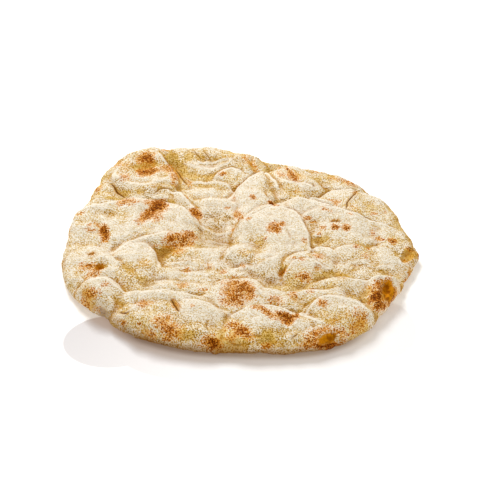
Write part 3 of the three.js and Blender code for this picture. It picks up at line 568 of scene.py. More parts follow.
# honey-yellow dough where a bubble tore open, and yellower patches, many of them painted shade in the hollows: x, y,
# half width, half height, turn, strength
HONEY = [
    (327, 338, 9.5, 6, 24, 1.0), (385.5, 292, 5.2, 9, -12, 1.0), (167, 252, 11, 7, 5, .38), (100, 267, 4, 3, 0, .9),
    (182, 178, 3, 8, 25, .25), (250, 162, 14, 7, -45, .4), (266, 192, 5, 8, 25, .28), (244, 253, 9, 6, 0, .55), (259, 261, 9, 4, 0, .45), (345, 278, 8, 4, 0, .45), (325, 260, 6, 4, 0, .4), (302, 177, 10, 6, -30, .5), (323, 315, 9, 7, 0, .5), (334, 321, 10, 5, 0, .5), (348, 315, 7, 8, 0, .5), (309, 256, 6, 5, 0, .4), (228, 341, 8, 6, 0, .4), (125, 167, 10, 9, 0, .50), (128, 180, 9, 4, 0, .40), (277, 343, 9, 5, 0, .45), (253, 341, 8, 5, 0, .40), (310, 256, 6, 4, 0, .3), (81, 221, 7, 8, 30, .4), (155, 186, 9, 4, 0, .35), (354, 208, 10, 4, -25, .3), (79, 272, 6, 7, 0, .45), (145, 265, 9, 7, 0, .35), (162, 269, 8, 5, 0, .3),
    (285, 185, 14, 7, -30, .35), (293, 172, 12, 6, -40, .35), (216, 231, 12, 5, 0, .3), (260, 244, 6, 5, 0, .3),
    (300, 279, 9, 4, 0, .35), (317, 268, 6, 5, 0, .15), (306, 246, 4, 8, -10, .3), (344, 275, 14, 4, 0, .35), (395, 272, 8, 6, 0, .3),
    (410.5, 256, 6, 8, 0, .62), (337, 319, 14, 8, 0, .50), (358, 322, 9, 11, 0, .40), (200, 332, 10, 7, 0, .2), (265, 336, 14, 7, 0, .25), (290, 330, 10, 8, 0, .2),
    (150, 186, 16, 6, 10, .25), (110, 250, 5, 10, 60, .2), (76, 255, 6, 14, 0, .15), (83, 284, 6, 8, 0, .2), (132, 270, 9, 8, 0, .25),
    (183, 284, 20, 5, 0, .25), (215, 273, 12, 5, 0, .25), (195, 250, 16, 5, 0, .15), (360, 203, 16, 8, -30, .15), (392, 222, 8, 8, -40, .25),
    (345, 181, 16, 6, -18, .25), (90, 188, 8, 10, 45, .2), (138, 152, 22, 4, 10, .2), (380, 303, 7, 6, 0, .32), (145, 264, 9, 7, 0, .45), (353, 208, 13, 5, -25, .45), (181, 252, 10, 5, 0, .3), (316, 340, 10, 7, 0, .22),
]

# smooth amber insides of torn bubbles: x, y, half width, half height, turn, strength
AMBER = [
    (327.3, 338.2, 10.8, 5.3, 27, 1.0), (388, 291, 5.6, 11, -12, 1.0), (99.5, 267.5, 4.4, 3.0, 12, .75), (384, 283, 3, 3, 0, .6),
]


WANDER = .30 * noise(GX, GY, 7, 41) + .20 * noise(GX, GY, 3.2, 42)

# the dough's folds: each crest stands up and runs down gently on its right-hand side
folded = np.zeros_like(GX)
fold_at, fold_k = np.full(GX.shape, -6.0), np.zeros_like(GX)
for pts, height, run_down, behind, dip in FOLDS:
    line = follow(pts, .6 * height, 2.5)
    w, d, along = beside(line, 3.2 * run_down)
    ends = smooth(-.01, .16, along) * smooth(1.01, .84, along)
    d = d + .8 * noise(GX[w], GY[w], 9, 31)
    size = height * (1 + .25 * noise(GX[w], GY[w], 16, 32))
    f = np.where(d > 0, np.exp(-(np.maximum(d, 0) / run_down) ** 1.4), np.exp(-(np.minimum(d, 0) / behind) ** 2))
    folded[w] += ends * (size * f - dip * np.exp(-((d + 1.6 * behind) / (1.1 * behind)) ** 2))
    # fold_at and fold_k later place a painted highlight on each crest and painted shade just behind it
    use = np.abs(d) < np.abs(fold_at[w])
    fold_at[w] = np.where(use, d, fold_at[w])
    fold_k[w] = np.maximum(fold_k[w], ends * min(1, height / 2) * smooth(9, 5, np.abs(d)))
folded *= smooth(0, 9, _s)
shown = np.where(INSIDE, EDGE_Z + (_z + folded - EDGE_Z) * _e, -1.0)
ZB = blur(np.where(INSIDE, shown, EDGE_Z * .6), 2.5)
SLOPE_Y, SLOPE_X = np.gradient(ZB, STEP)

relief = np.zeros_like(GX)
relief += .50 * noise(GX, GY, 14, 21) + .28 * noise(GX, GY, 7.5, 22) + .14 * noise(GX, GY, 4.0, 23)
for (px, py, hl, hw, bearing, gap, amp), w, i, j in marks_on_skin(WRINKLES, 1.3):
    along, across = turned(i, j, bearing)
    across = across + gap * (.35 * noise(GX[w], GY[w], 9, 51) + .22 * noise(GX[w], GY[w], 4, 52))
    mask = np.exp(-((along / hl) ** 2 + (across / hw) ** 2) ** 1.4)
    wave = .5 + .5 * np.cos(2 * math.pi * across / gap)
    relief[w] += 1.4 * amp * (wave ** 1.5 - .42) * mask * (.75 + .5 * noise(GX[w], GY[w], 6, 53))

# crease_at and crease_k later place painted shade along each crease
crease_at, crease_k = np.full(GX.shape, 3.0), np.zeros_like(GX)
for pts, width, depth, dark in CREASES:
    w, d, along = beside(follow(pts), 8)
    d = d + .35 * noise(GX[w], GY[w], 4, 60)
    taper = np.sqrt(clip01(4 * along * (1 - along)))
    wide = np.maximum(.55, width * (.35 + .65 * taper))
    depth = min(depth, 1.3)
    relief[w] += -depth * np.exp(-(d / wide) ** 2) * (.3 + .7 * taper) + .3 * np.exp(-((np.abs(d) - 2.4 * wide) / (1.2 * wide)) ** 2)
    use = np.abs(d) < np.abs(crease_at[w])
    crease_at[w] = np.where(use, d, crease_at[w])
    crease_k[w] = np.maximum(crease_k[w], dark * (.25 + .75 * taper) * smooth(5, 2, np.abs(d)))

for (px, py, hw, hh, turn, depth), w, i, j in marks_on_skin(DIPS, 1.7):
    relief[w] -= depth * np.exp(-sum((v / q) ** 2 for v, q in zip(turned(i, j, turn), (hw, hh))))
for (px, py, hw, hh, turn, depth, rim), w, i, j in marks_on_skin(PITS, 1.4):
    d = np.hypot(*(v / q for v, q in zip(turned(i, j, turn), (hw, hh)))) + .5 * WANDER[w]
    relief[w] += -depth * smooth(1.12, .45, d) + rim * np.exp(-((d - 1.2) / .22) ** 2)

# blisters on the scorched skin, and grain everywhere
blistered = np.zeros_like(GX)
for (px, py, hw, hh, turn, strength), w, i, j in marks_on_skin(SCORCH, 1.3):
    d = np.hypot(*(v / q for v, q in zip(turned(i, j, turn), (hw, hh)))) + .8 * WANDER[w]
    blistered[w] = np.maximum(blistered[w], strength * smooth(1.45, .05, d))
relief += .30 * blistered * noise(GX, GY, 2.1, 71) + .16 * noise(GX, GY, 2.0, 72) + .12 * noise(GX, GY, 3.1, 73)

# scattered pores and small blisters all over the skin
rng = np.random.default_rng(7)


def dots(count, low, high, depth):
    out = np.zeros_like(GX)
    for _ in range(count):
        x, y = rng.uniform(-160, 160, 2)
        r = rng.uniform(low, high)
        d = depth * rng.uniform(.4, 1)
        w = window(x, y, 3 * r)
        q = np.hypot(GX[w] - x, (GY[w] - y) * rng.uniform(.8, 1.5)) / r
        out[w] += d * np.exp(-q ** 2)
    return out


relief += dots(1500, .9, 2.2, .22) - dots(900, .7, 1.6, .32) + dots(260, 2.2, 4.5, .42)

near_edge = smooth(.5, 5.0, _s)
# the seam where the puffed top meets the thin bottom skin
ang = np.arctan2(GY, GX)
seam_on = clip01(.55 + .9 * noise(ang * 24, 0 * ang, 1.0, 81))
relief = folded + relief * near_edge - .6 * np.exp(-((_s - 1.6) / 1.0) ** 2) * seam_on
# nothing stands higher than the tallest lobe
TALLEST = 28.4
ZT = _z + relief
over = np.maximum(ZT - (TALLEST - 3), 0)
relief = np.where(over > 0, TALLEST - 3 + 3 * np.tanh(over / 3), ZT) - _z
ZT = _z + relief
ZG = np.where(INSIDE, EDGE_Z + (ZT - EDGE_Z) * _e, EDGE_Z * .6)

# ---------------------------------------------------------------- what the skin looks like, from its own form
g1 = blur(ZT, .8)
sy, sx = np.gradient(blur(ZT, 1.4), STEP)
steep = np.hypot(sx, sy)
sharp = g1 - blur(ZT, 2.2)                 # + on thin crests, - in thin creases
broad = blur(ZT, 2.0) - blur(ZT, 8.0)      # + on the backs of the lobes, - in the valleys
crest = clip01(sharp / .55)
crease = clip01(-sharp / .60)
valley = clip01(-broad / 2.6)
back = clip01(broad / 2.6)
low = smooth(17.5, 12.0, blur(ZT, 1.6)) * smooth(4, 14, _s)
# flour lies thickest over the middle and the left; the far side baked a little yellower
spread = (.30 * np.exp(-((GX + 30) / 90) ** 2 - ((GY + 5) / 75) ** 2) + .16 * np.exp(-((GX - 40) / 50) ** 2 - ((GY - 20) / 60) ** 2)
          - .30 * smooth(55, 120, GY) - .12 * smooth(70, 140, GX) - .10 * smooth(-70, -130, GY))
# tan: painted shade, more tan on steep slopes and in the valleys, plus more tan in low places and random tone; flour:
# thicker on lobe backs and thin crests, thinner on steep slopes and in valleys, which paints shade there too
FIELDS = {"tan_and_shade": .08 + .10 * low + .34 * smooth(.20, .85, steep) + .28 * valley + .22 * noise(GX, GY, 22, 91) + .16 * noise(GX, GY, 9, 92) - .6 * spread,
          "flour": .58 - .08 * low + spread + .40 * back - .30 * smooth(.22, .95, steep) - .20 * valley + .26 * noise(GX, GY, 26, 93)
          + .24 * noise(GX, GY, 11, 94) + .14 * noise(GX, GY, 5, 97) + .35 * crest - .4 * crease,
          "crease": crease, "crease_at": crease_at, "crease_k": crease_k, "fold_at": fold_at, "fold_k": fold_k, "inset": _s,
          "far": smooth(70, 130, GY) * clip01(.5 + noise(GX, GY, 15, 98))}

# ---------------------------------------------------------------- the mesh
RINGS, FINE, SPACE = 166, 8, .90
FOOT_RINGS = 40
t_all = np.linspace(-math.pi, math.pi, 1441)
r_all = outline(t_all)
MID_X = (np.max(r_all * np.cos(t_all)) + np.min(r_all * np.cos(t_all))) / 2
MID_Y = (np.max(r_all * np.sin(t_all)) + np.min(r_all * np.sin(t_all))) / 2


def ripple(t, turns, seed):
    """Noise round the edge that closes on itself."""
    return noise(turns * np.cos(t), turns * np.sin(t), 1.0, seed)


# where the edge stands out or draws in: pixel, mm, half width mm
EDGE_BUMPS = [(411, 253, 4.0, 9), (103, 313, -3.5, 9), (401, 223, 2.8, 11), (407, 276, -2.4, 10), (69, 229, 2.2, 11), (121, 165, 2.6, 11)]
_bump_at = seen([b[0] for b in EDGE_BUMPS], [b[1] for b in EDGE_BUMPS])[0]
BUMP_AT = np.arctan2(_bump_at[:, 1], _bump_at[:, 0])


def edge_line(t):
    """Radius and height of the bread's widest line."""
    r = outline(t) + .55 * ripple(t, 5, 101) + .35 * ripple(t, 14, 102)
    for (px, py, out, wide), at in zip(EDGE_BUMPS, BUMP_AT):
        off = (np.mod(t - at + math.pi, 2 * math.pi) - math.pi) * 150
        r = r + out * np.exp(-np.abs(off / wide) ** 2.2)
    z = EDGE_Z + 1.1 * ripple(t, 3, 103) + .6 * ripple(t, 9, 104)
    return r, z


verts, tris, uvs_r, is_under = [], [], [], []
rings = []
count = 0


def add_ring(x, y, z, under, along):
    global count
    idx = np.arange(count, count + len(x))
    verts.append(np.stack([x, y, z], 1))
    is_under.append(np.full(len(x), float(under)))
    uvs_r.append(np.full(len(x), along))
    count += len(x)
    return idx


def zip_rings(inner, outer, flip):
    n, m = len(inner), len(outer)
    ai = (np.arange(1, n + 1)) / n
    bi = (np.arange(1, m + 1)) / m
    # order of steps: outer first on ties
    key = np.concatenate([bi - 1e-9, ai])
    kind = np.concatenate([np.ones(m, int), np.zeros(n, int)])
    order = np.argsort(key, kind="stable")
    kind = kind[order]
    j = np.concatenate([[0], np.cumsum(kind)[:-1]])
    i = np.concatenate([[0], np.cumsum(1 - kind)[:-1]])
    a, b = inner[i % n], outer[j % m]
    c = np.where(kind == 1, outer[(j + 1) % m], inner[(i + 1) % n])
    tris.append(np.stack([a, c, b] if flip else [a, b, c], 1))


def top_at(x, y):
    z, e, s = top_parts(x, y)
    t = np.arctan2(y, x)
    z = z + sample(relief, x, y)
    ez = edge_line(t)[1]
    return ez + (z - ez) * e


centre = add_ring(np.zeros(1), np.zeros(1), top_at(np.array([1e-6]), np.array([0.0])), 0, 0.0)
prev = None
grow = 0.0
for k in range(1, RINGS + 1):
    t = 2 * math.pi * np.arange(6 * k) / (6 * k)
    R = outline(t)
    Rv, ez = edge_line(t)
    j = RINGS - k
    inset_f = SPACE * FINE / 2
    if j <= FINE:
        s = SPACE * j * j / (2 * FINE)
        r = R - s
    else:
        r = (R - inset_f) * k / (RINGS - FINE)
    x, y = r * np.cos(t), r * np.sin(t)
    z = ez.copy() if j == 0 else top_at(x, y)
    push = (Rv - R) * smooth(30, 0, R - r)
    x, y = x + push * np.cos(t), y + push * np.sin(t)
    if prev is None:
        ring = add_ring(x, y, z, 0, float(np.mean(np.hypot(x, y))))
        for q in range(6):
            tris.append(np.array([[centre[0], ring[q], ring[(q + 1) % 6]]]))
    else:
        lastp = verts[-1]
        step = np.mean(np.hypot(r - np.mean(np.hypot(lastp[:, 0], lastp[:, 1])) * np.ones_like(r), 0)) if j > FINE else max(
            .25, float(np.mean(np.hypot(np.mean(np.hypot(x, y)) - np.mean(np.hypot(lastp[:, 0], lastp[:, 1])),
                                        np.mean(z) - np.mean(lastp[:, 2])))))
        ring = add_ring(x, y, z, 0, uvs_r[-1][0] + step)
        zip_rings(prev, ring, False)
    prev = ring
# under the edge: the skin curls in to the flat foot
t = 2 * math.pi * np.arange(6 * RINGS) / (6 * RINGS)
Rv, ez = edge_line(t)
foot_w = FOOT_W + 2.2 * ripple(t, 4, 105) + 1.2 * ripple(t, 11, 106)
UNDER_STEPS = 5
for q in range(1, UNDER_STEPS + 1):
    f = 1 - math.cos(q / UNDER_STEPS * math.pi / 2)
    s = foot_w * f
    m = 1 - clip01(s / foot_w)
    z = ez * (1 - np.sqrt(1 - m * m))
    lumps = .5 * ripple(t, 40, 107) * math.sin(q / UNDER_STEPS * math.pi)
    r = Rv - s
    ring = add_ring(r * np.cos(t), r * np.sin(t), np.maximum(z + lumps, 0), clip01((q - 1) / 3), uvs_r[-1][0] + float(np.mean(foot_w)) / UNDER_STEPS * 1.15)
    zip_rings(ring, prev, True)
    prev = ring
top_count = count
foot_edge = np.mean(np.hypot(verts[-1][:, 0], verts[-1][:, 1]))
for k in range(FOOT_RINGS, 0, -1):
    t2 = 2 * math.pi * np.arange(6 * k) / (6 * k)
    r_foot = np.interp(np.mod(t2, 2 * math.pi), np.append(t, 2 * math.pi), np.append(Rv - foot_w, (Rv - foot_w)[0]))
    r = r_foot * (k - .35) / FOOT_RINGS
    x, y = r * np.cos(t2), r * np.sin(t2)
    hollow = .45 * smooth(0, 8, r_foot - r) * clip01(.5 + .9 * noise(x, y, 16, 111) + .4 * noise(x, y, 6, 112))
    ring = add_ring(x, y, hollow, 1, 0.0)
    zip_rings(ring, prev, True)
    prev = ring
last = add_ring(np.zeros(1), np.zeros(1), np.array([.1]), 1, 0.0)
for q in range(6):
    tris.append(np.array([[last[0], prev[(q + 1) % 6], prev[q]]]))

P = np.concatenate(verts)
T = np.concatenate(tris)
UNDER = np.concatenate(is_under)
R_UV = np.concatenate(uvs_r)
plan = P[:, :2].copy()
F = {k: sample(v, plan[:, 0], plan[:, 1]) for k, v in FIELDS.items()}


def skin_normals(p):
    n = np.cross(p[T[:, 1]] - p[T[:, 0]], p[T[:, 2]] - p[T[:, 0]])
    out = np.zeros_like(p)
    for k in range(3):
        for c in range(3):
            out[:, c] += np.bincount(T[:, k], n[:, c], len(p))
    return out / (np.linalg.norm(out, axis=1, keepdims=True) + 1e-12)


# the edge is as lumpy as the rest, straight out from its skin
at_edge = smooth(13, 3, F["inset"]) * smooth(.3, 2.0, P[:, 2])
lump = 1.0 * noise_3d(P, 11, 121) + .75 * noise_3d(P, 5.2, 122) + .34 * noise_3d(P, 2.4, 123) + .15 * noise_3d(P, 1.5, 124)
P += skin_normals(P) * (at_edge * (lump - .25))[:, None]
P[:, 2] = np.maximum(P[:, 2], 0)

# marks are round as seen, on whatever slope they lie
LIFTED = np.where(INSIDE, ZG, -1.0)
shown = LIFTED
depth_of = (P - EYE) @ AHEAD
NORMAL = skin_normals(P)
facing = -(NORMAL * (P - EYE)).sum(1) / np.linalg.norm(P - EYE, axis=1)
wander_v = .30 * noise_3d(P, 7, 41) + .22 * noise_3d(P, 3.2, 42)


def paint(marks, soft, wander):
    out = np.zeros(len(P))
    p, r, u = seen([m[0] for m in marks], [m[1] for m in marks])
    for k, (px, py, hw, hh, turn, strength) in enumerate(marks):
        size = max(hw, hh) * 1.6
        reach = 1.7 * size + 4
        near = np.nonzero((np.abs(plan[:, 0] - p[k, 0]) < reach) & (np.abs(plan[:, 1] - p[k, 1]) < reach) & (UNDER < 1))[0]
        off = P[near] - p[k]
        scale = F_PX / depth_of[near]
        i, j = off @ SIDE * scale, off @ UPWARD * scale
        i, j = turned(i, j, turn)
        d = np.hypot(np.hypot(i / hw, j / hh), .45 * (np.linalg.norm(off, axis=1) / size) ** 2)
        d += wander * wander_v[near]
        out[near] = 1 - (1 - out[near]) * (1 - strength * smooth(*soft, d) * smooth(-.25, .1, facing[near]))
    return out * (1 - UNDER)


F["scorch"] = paint(SCORCH, (1.45, .05), .8)
F["honey"] = paint(HONEY, (1.3, .2), .6)
F["amber"] = paint(AMBER, (1.12, .8), .4)
# painted shade in the hollows
F["hollow"] = paint(SHADED_HOLLOWS, (1.5, .1), .6)
# thick flour, and painted light on shaded walls and slopes
floury_and_lit = paint(FLOUR_AND_LIGHT, (1.5, .2), .6)
low_edge = smooth(9, 2.5, F["inset"]) * smooth(-1.5, 3, P[:, 2])
# flour thins where the painted shade of the hollows lies
F["flour"] = clip01(F["flour"] + .55 * floury_and_lit - .50 * F["hollow"] - .24 * low_edge * (1 + 1.2 * noise_3d(P, 8, 131))) * clip01(1 - F["honey"]) ** 1.5 * clip01(1 - .9 * F["scorch"])
# more tan, as painted shade, where the hollow marks lie
F["tan_and_shade"] = clip01(F["tan_and_shade"] + .55 * F["hollow"] + .10 * low_edge - .25 * floury_and_lit)
F["honey"] = clip01(F["honey"] + .34 * F.pop("far") * (.3 + .7 * smooth(2, 14, F["inset"])))
bearing = np.arctan2(plan[:, 1], plan[:, 0])
F["edge_brown"] = clip01(.30 + .8 * noise_3d(P, 9, 95)) * smooth(5.0, .5, F.pop("inset"))
F["underside"] = UNDER
# painted shade along the lowest rim, strongest at the front
F["rim_low"] = (smooth(13.5, 5.0, P[:, 2]) * (1 - smooth(.5, 1.0, UNDER)) * (.15 + .85 * smooth(-112, -75, plan[:, 0]) * smooth(100, 70, plan[:, 0]) * smooth(20, -40, plan[:, 1])))
for k in ("crease_k", "fold_k"):
    F[k] = F[k] * (1 - UNDER)
V = P.copy()
V[:, 0] -= MID_X
V[:, 1] -= MID_Y
V *= .001

mesh = bpy.data.meshes.new("baked_base")
mesh.vertices.add(len(V))
mesh.vertices.foreach_set("co", V.astype(np.float32).ravel())
mesh.loops.add(3 * len(T))
mesh.loops.foreach_set("vertex_index", T.astype(np.int32).ravel())
mesh.polygons.add(len(T))
mesh.polygons.foreach_set("loop_start", np.arange(0, 3 * len(T), 3, dtype=np.int32))
mesh.polygons.foreach_set("loop_total", np.full(len(T), 3, np.int32))
mesh.polygons.foreach_set("use_smooth", np.ones(len(T), bool))
mesh.update(calc_edges=True)
mesh.validate()

for name, v in F.items():
    at = mesh.attributes.new(name, "FLOAT", "POINT")
    at.data.foreach_set("value", v.astype(np.float32))

# flat map: the top and its curled edge as one disc, the foot as another
uv = mesh.uv_layers.new(name="OFBake")
rad_top = R_UV / max(R_UV[:top_count].max(), 1e-6) * .395
stretch = np.hypot(plan[:, 0], plan[:, 1])
u_top = .40 + rad_top * np.cos(bearing)
v_top = .40 + rad_top * np.sin(bearing)
u_bot = .815 + plan[:, 0] / 165 * .175
v_bot = .815 - plan[:, 1] / 165 * .175
corner = T.ravel()
face_bottom = np.repeat((T >= top_count).any(1), 3)
uu = np.where(face_bottom, u_bot[corner], u_top[corner])
vv = np.where(face_bottom, v_bot[corner], v_top[corner])
uv.data.foreach_set("uv", np.stack([uu, vv], 1).astype(np.float32).ravel())

bread = bpy.data.objects.new("baked_base", mesh)
bpy.context.scene.collection.objects.link(bread)

# ---------------------------------------------------------------- the finish
CREAM = (.89, .817, .70)
DOUGH = (.87, .66, .275)
TAN = (.77, .50, .105)
SHADE_OLIVE = (.52, .345, .060)
HONEY_C = (.84, .48, .085)
HONEY_DEEP = (.66, .295, .012)
GOLD = (.74, .295, .010)
RUST = (.39, .090, .001)
CHAR = (.105, .022, .001)
CREASE_SHADE_C = (.46, .19, .020)


class Nodes:
    """Short names for the nodes of one material."""

    def __init__(self, material):
        material.use_nodes = True
        self.tree = material.node_tree
        self.tree.nodes.clear()

    def put(self, kind, **values):
        n = self.tree.nodes.new(kind)
        for k, v in values.items():
            setattr(n, k, v)
        return n

    def link(self, a, b):
        self.tree.links.new(a, b)

    def feed(self, socket, v):
        if isinstance(v, (int, float)):
            socket.default_value = v
        elif isinstance(v, tuple):
            socket.default_value = (*v, 1.0) if len(v) == 3 else v
        else:
            self.link(v, socket)

    def math(self, op, a, b=0.0, c=0.0, clamp=False):
        n = self.put("ShaderNodeMath", operation=op, use_clamp=clamp)
        for s, v in zip(n.inputs, (a, b, c)):
            self.feed(s, v)
        return n.outputs[0]

    def add(self, a, b, clamp=False):
        return self.math("ADD", a, b, clamp=clamp)

    def mul(self, a, b, clamp=False):
        return self.math("MULTIPLY", a, b, clamp=clamp)

    def step(self, v, low, high, to0=0.0, to1=1.0):
        n = self.put("ShaderNodeMapRange", interpolation_type="SMOOTHSTEP")
        for s, x in zip(n.inputs, (v, low, high, to0, to1)):
            self.feed(s, x)
        return n.outputs[0]

    def mix(self, f, a, b, blend="MIX"):
        n = self.put("ShaderNodeMix", data_type="RGBA", blend_type=blend)
        n.clamp_factor = True
        self.feed(n.inputs[0], f)
        self.feed(n.inputs[6], a)
        self.feed(n.inputs[7], b)
        return n.outputs[2]

    def attribute(self, name):
        return self.put("ShaderNodeAttribute", attribute_type="GEOMETRY", attribute_name=name).outputs["Fac"]

    def noise(self, where, scale, detail=2.0, rough=.5, lift=0.0, distortion=0.0):
        n = self.put("ShaderNodeTexNoise", noise_dimensions="3D")
        self.link(where, n.inputs["Vector"])
        n.inputs["Scale"].default_value = scale
        n.inputs["Detail"].default_value = detail
        n.inputs["Roughness"].default_value = rough
        n.inputs["Distortion"].default_value = distortion
        return n.outputs["Fac"]


def dough_finish():
    m = bpy.data.materials.new("floured_crust")
    N = Nodes(m)
    place = N.put("ShaderNodeTexCoord").outputs["Object"]
    A = {k: N.attribute(k) for k in F}
    grain = N.noise(place, 790, 0.5, .5)          # about 2 mm
    fine = N.noise(place, 1050, 0.0, .5)           # about 1 mm
    speck = N.noise(place, 300, 2.0, .55)         # about 3 mm
    mottle = N.noise(place, 120, 4.0, .6)         # about 8 mm
    patch = N.noise(place, 34, 4.0, .55)          # about 30 mm
    g = N.add(N.step(grain, .39, .61, 0, .86), N.add(N.step(fine, .41, .59, 0, .92), -.89))
    bite = N.step(A["flour"], .85, .15, .45, 1.0)
    s = N.add(N.step(speck, .32, .68), -.5)
    mo = N.add(mottle, -.5)

    # bare dough, from cream to tan to a greenish grey: painted shade on steep slopes, in the valleys and in the
    # hollows, with random tone
    bare = N.mix(N.step(N.add(A["tan_and_shade"], N.add(N.mul(s, .20), N.mul(mo, .62))), .05, .75), DOUGH, TAN)
    bare = N.mix(N.step(N.add(A["tan_and_shade"], N.add(N.mul(g, -.55), N.mul(s, .35))), .45, 1.15, 0, .85), bare, SHADE_OLIVE)
    honey = N.step(N.add(A["honey"], N.add(N.mul(s, .30), N.mul(mo, .6))), .12, .85)
    bare = N.mix(N.mul(honey, .85), bare, HONEY_C)
    bare = N.mix(N.step(N.add(A["honey"], N.mul(s, .25)), .66, 1.05, 0, .8), bare, HONEY_DEEP)
    # flour lying on it in grains
    dust = N.step(N.add(A["flour"], N.add(N.mul(g, .62), N.add(N.mul(s, .10), N.mul(mo, .26)))), .06, .84, 0, .97)
    dust = N.mul(dust, N.step(A["flour"], .01, .16))
    skin = N.mix(dust, bare, CREAM)
    skin = N.mix(N.mul(N.step(g, .15, -.65), bite), skin, (.58, .405, .075), "MULTIPLY")
    dusty = N.math("MAXIMUM", N.step(A["flour"], .02, .5), N.mul(.30, N.math("MULTIPLY", N.step(A["honey"], .5, .1), N.step(A["scorch"], .35, .05))))
    skin = N.mix(N.mul(N.step(g, .10, .65, 0, .75), N.math("MAXIMUM", dusty, N.step(A["honey"], .5, .1, 0, .28))), skin, (.975, .93, .85))
    # painted shade in thin creases; a painted highlight along each fold crest and painted shade just behind it
    skin = N.mix(N.mul(A["crease"], .55), skin, CREASE_SHADE_C)
    rim = N.mul(N.step(N.math("ABSOLUTE", N.add(A["fold_at"], -.9)), 1.6, .4), A["fold_k"])
    skin = N.mix(N.mul(rim, .80), skin, (.98, .90, .77))
    shade_behind_crest = N.mul(N.step(N.math("ABSOLUTE", N.add(A["fold_at"], 1.3)), .9, .1), A["fold_k"])
    skin = N.mix(N.mul(shade_behind_crest, N.step(mottle, .40, .62, 0, .60)), skin, CREASE_SHADE_C)
    skin = N.mix(N.mul(A["edge_brown"], .22), skin, GOLD)
    # scorch marks: freckles that join up towards the middle
    sc = N.add(A["scorch"], N.add(N.mul(g, -.52), N.add(N.mul(s, .24), N.mul(mo, .35))))
    skin = N.mix(N.step(A["scorch"], .02, .55, 0, .62), skin, (.82, .49, .12))
    on = N.step(A["scorch"], 0.0, .12)
    skin = N.mix(N.mul(N.step(sc, .08, .42, 0, .88), on), skin, GOLD)
    skin = N.mix(N.mul(N.step(sc, .38, .66, 0, .94), on), skin, RUST)
    skin = N.mix(N.mul(N.step(sc, .70, 1.08, 0, .92), on), skin, CHAR)
    amber = N.mix(N.step(N.add(mottle, N.mul(s, .2)), .36, .60), (.36, .108, .001), (.68, .262, .004))
    skin = N.mix(A["amber"], skin, amber)
    # the creases and splits: a browned halo round them and a dark line of painted shade in them
    halo = N.mul(N.step(N.math("ABSOLUTE", A["crease_at"]), 3.0, .5), A["crease_k"])
    skin = N.mix(N.mul(halo, .55), skin, (.66, .36, .07))
    line = N.mul(N.step(N.math("ABSOLUTE", A["crease_at"]), 1.05, .15), A["crease_k"])
    skin = N.mix(N.step(N.add(line, N.mul(g, .2)), .15, .80, 0, .92), skin, (.17, .050, .004))
    # painted shade along the lowest rim, strongest at the front
    skin = N.mix(A["rim_low"], skin, (.43, .305, .18), "MULTIPLY")
    # the flat foot: pale, with toasted freckles from the baking stone
    toast = N.step(N.add(patch, N.add(N.mul(mo, .55), N.mul(s, .5))), .46, .78, 0, .85)
    foot = N.mix(toast, N.mix(N.step(N.add(speck, N.mul(mo, .8)), .35, .65), (.66, .50, .29), (.78, .67, .50)), (.46, .22, .065))
    foot = N.mix(N.step(N.add(patch, N.add(N.mul(g, .5), N.mul(s, .7))), .70, .90, 0, .8), foot, (.17, .055, .018))
    skin = N.mix(A["underside"], skin, foot)

    rough = N.step(N.add(dust, N.mul(honey, -.5)), 0.0, 1.0, .55, .92)
    height = N.add(N.add(N.mul(N.step(grain, .3, .7), .00030), N.mul(fine, .0006)), N.add(N.mul(speck, .00045), N.mul(mottle, .0009)))
    bump = N.put("ShaderNodeBump")
    bump.inputs["Strength"].default_value = 1.0
    bump.inputs["Distance"].default_value = 1.0
    N.link(height, bump.inputs["Height"])
    skin_shader = N.put("ShaderNodeBsdfPrincipled")
    N.link(skin, skin_shader.inputs["Base Color"])
    N.link(rough, skin_shader.inputs["Roughness"])
    N.link(bump.outputs[0], skin_shader.inputs["Normal"])
    skin_shader.inputs["Specular IOR Level"].default_value = .03
    out = N.put("ShaderNodeOutputMaterial")
    N.link(skin_shader.outputs[0], out.inputs["Surface"])
    return m


mesh.materials.append(dough_finish())
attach(bread, "root")
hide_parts("pizza_base")

# ---------------------------------------------------------------- floor, light and camera
floor_mesh = bpy.data.meshes.new("floor")
# rings round the bread, carrying a painted contact shadow on the table where the two touch
TURN = 240
t = 2 * math.pi * np.arange(TURN) / TURN
rows, contact_shadow = [], []
for out, dark in ((-10, 1.0), (-3, .85), (0, .42), (2, .12), (4, .03), (7, 0), (30000, 0)):
    r = edge_line(t)[0] + out
    x, y = r * np.cos(t), r * np.sin(t)
    rows.append(np.stack([x - MID_X, y - MID_Y, np.full(TURN, -.2)], 1) * .001)
    contact_shadow.append(dark * (.12 + .88 * smooth(-112, -75, x) * smooth(112, 82, x) * smooth(20, -40, y)))
faces = [tuple(range(TURN))]
for k in range(len(rows) - 1):
    for q in range(TURN):
        a, b = k * TURN + q, k * TURN + (q + 1) % TURN
        faces.append((a, a + TURN, b + TURN, b))
floor_mesh.from_pydata(np.concatenate(rows).tolist(), [], faces)
floor_mesh.attributes.new("contact_shadow", "FLOAT", "POINT").data.foreach_set("value", np.concatenate(contact_shadow).astype(np.float32))
floor = bpy.data.objects.new("floor", floor_mesh)
bpy.context.scene.collection.objects.link(floor)
fm = bpy.data.materials.new("white_table")
fm.use_nodes = True
fb = fm.node_tree.nodes["Principled BSDF"]
fb.inputs["Base Color"].default_value = (.92, .92, .93, 1)
fb.inputs["Roughness"].default_value = .32
fb.inputs["Specular IOR Level"].default_value = .35
fb.inputs["Emission Color"].default_value = (1, 1, 1, 1)
fb.inputs["Emission Strength"].default_value = .30
floor_mesh.materials.append(fm)
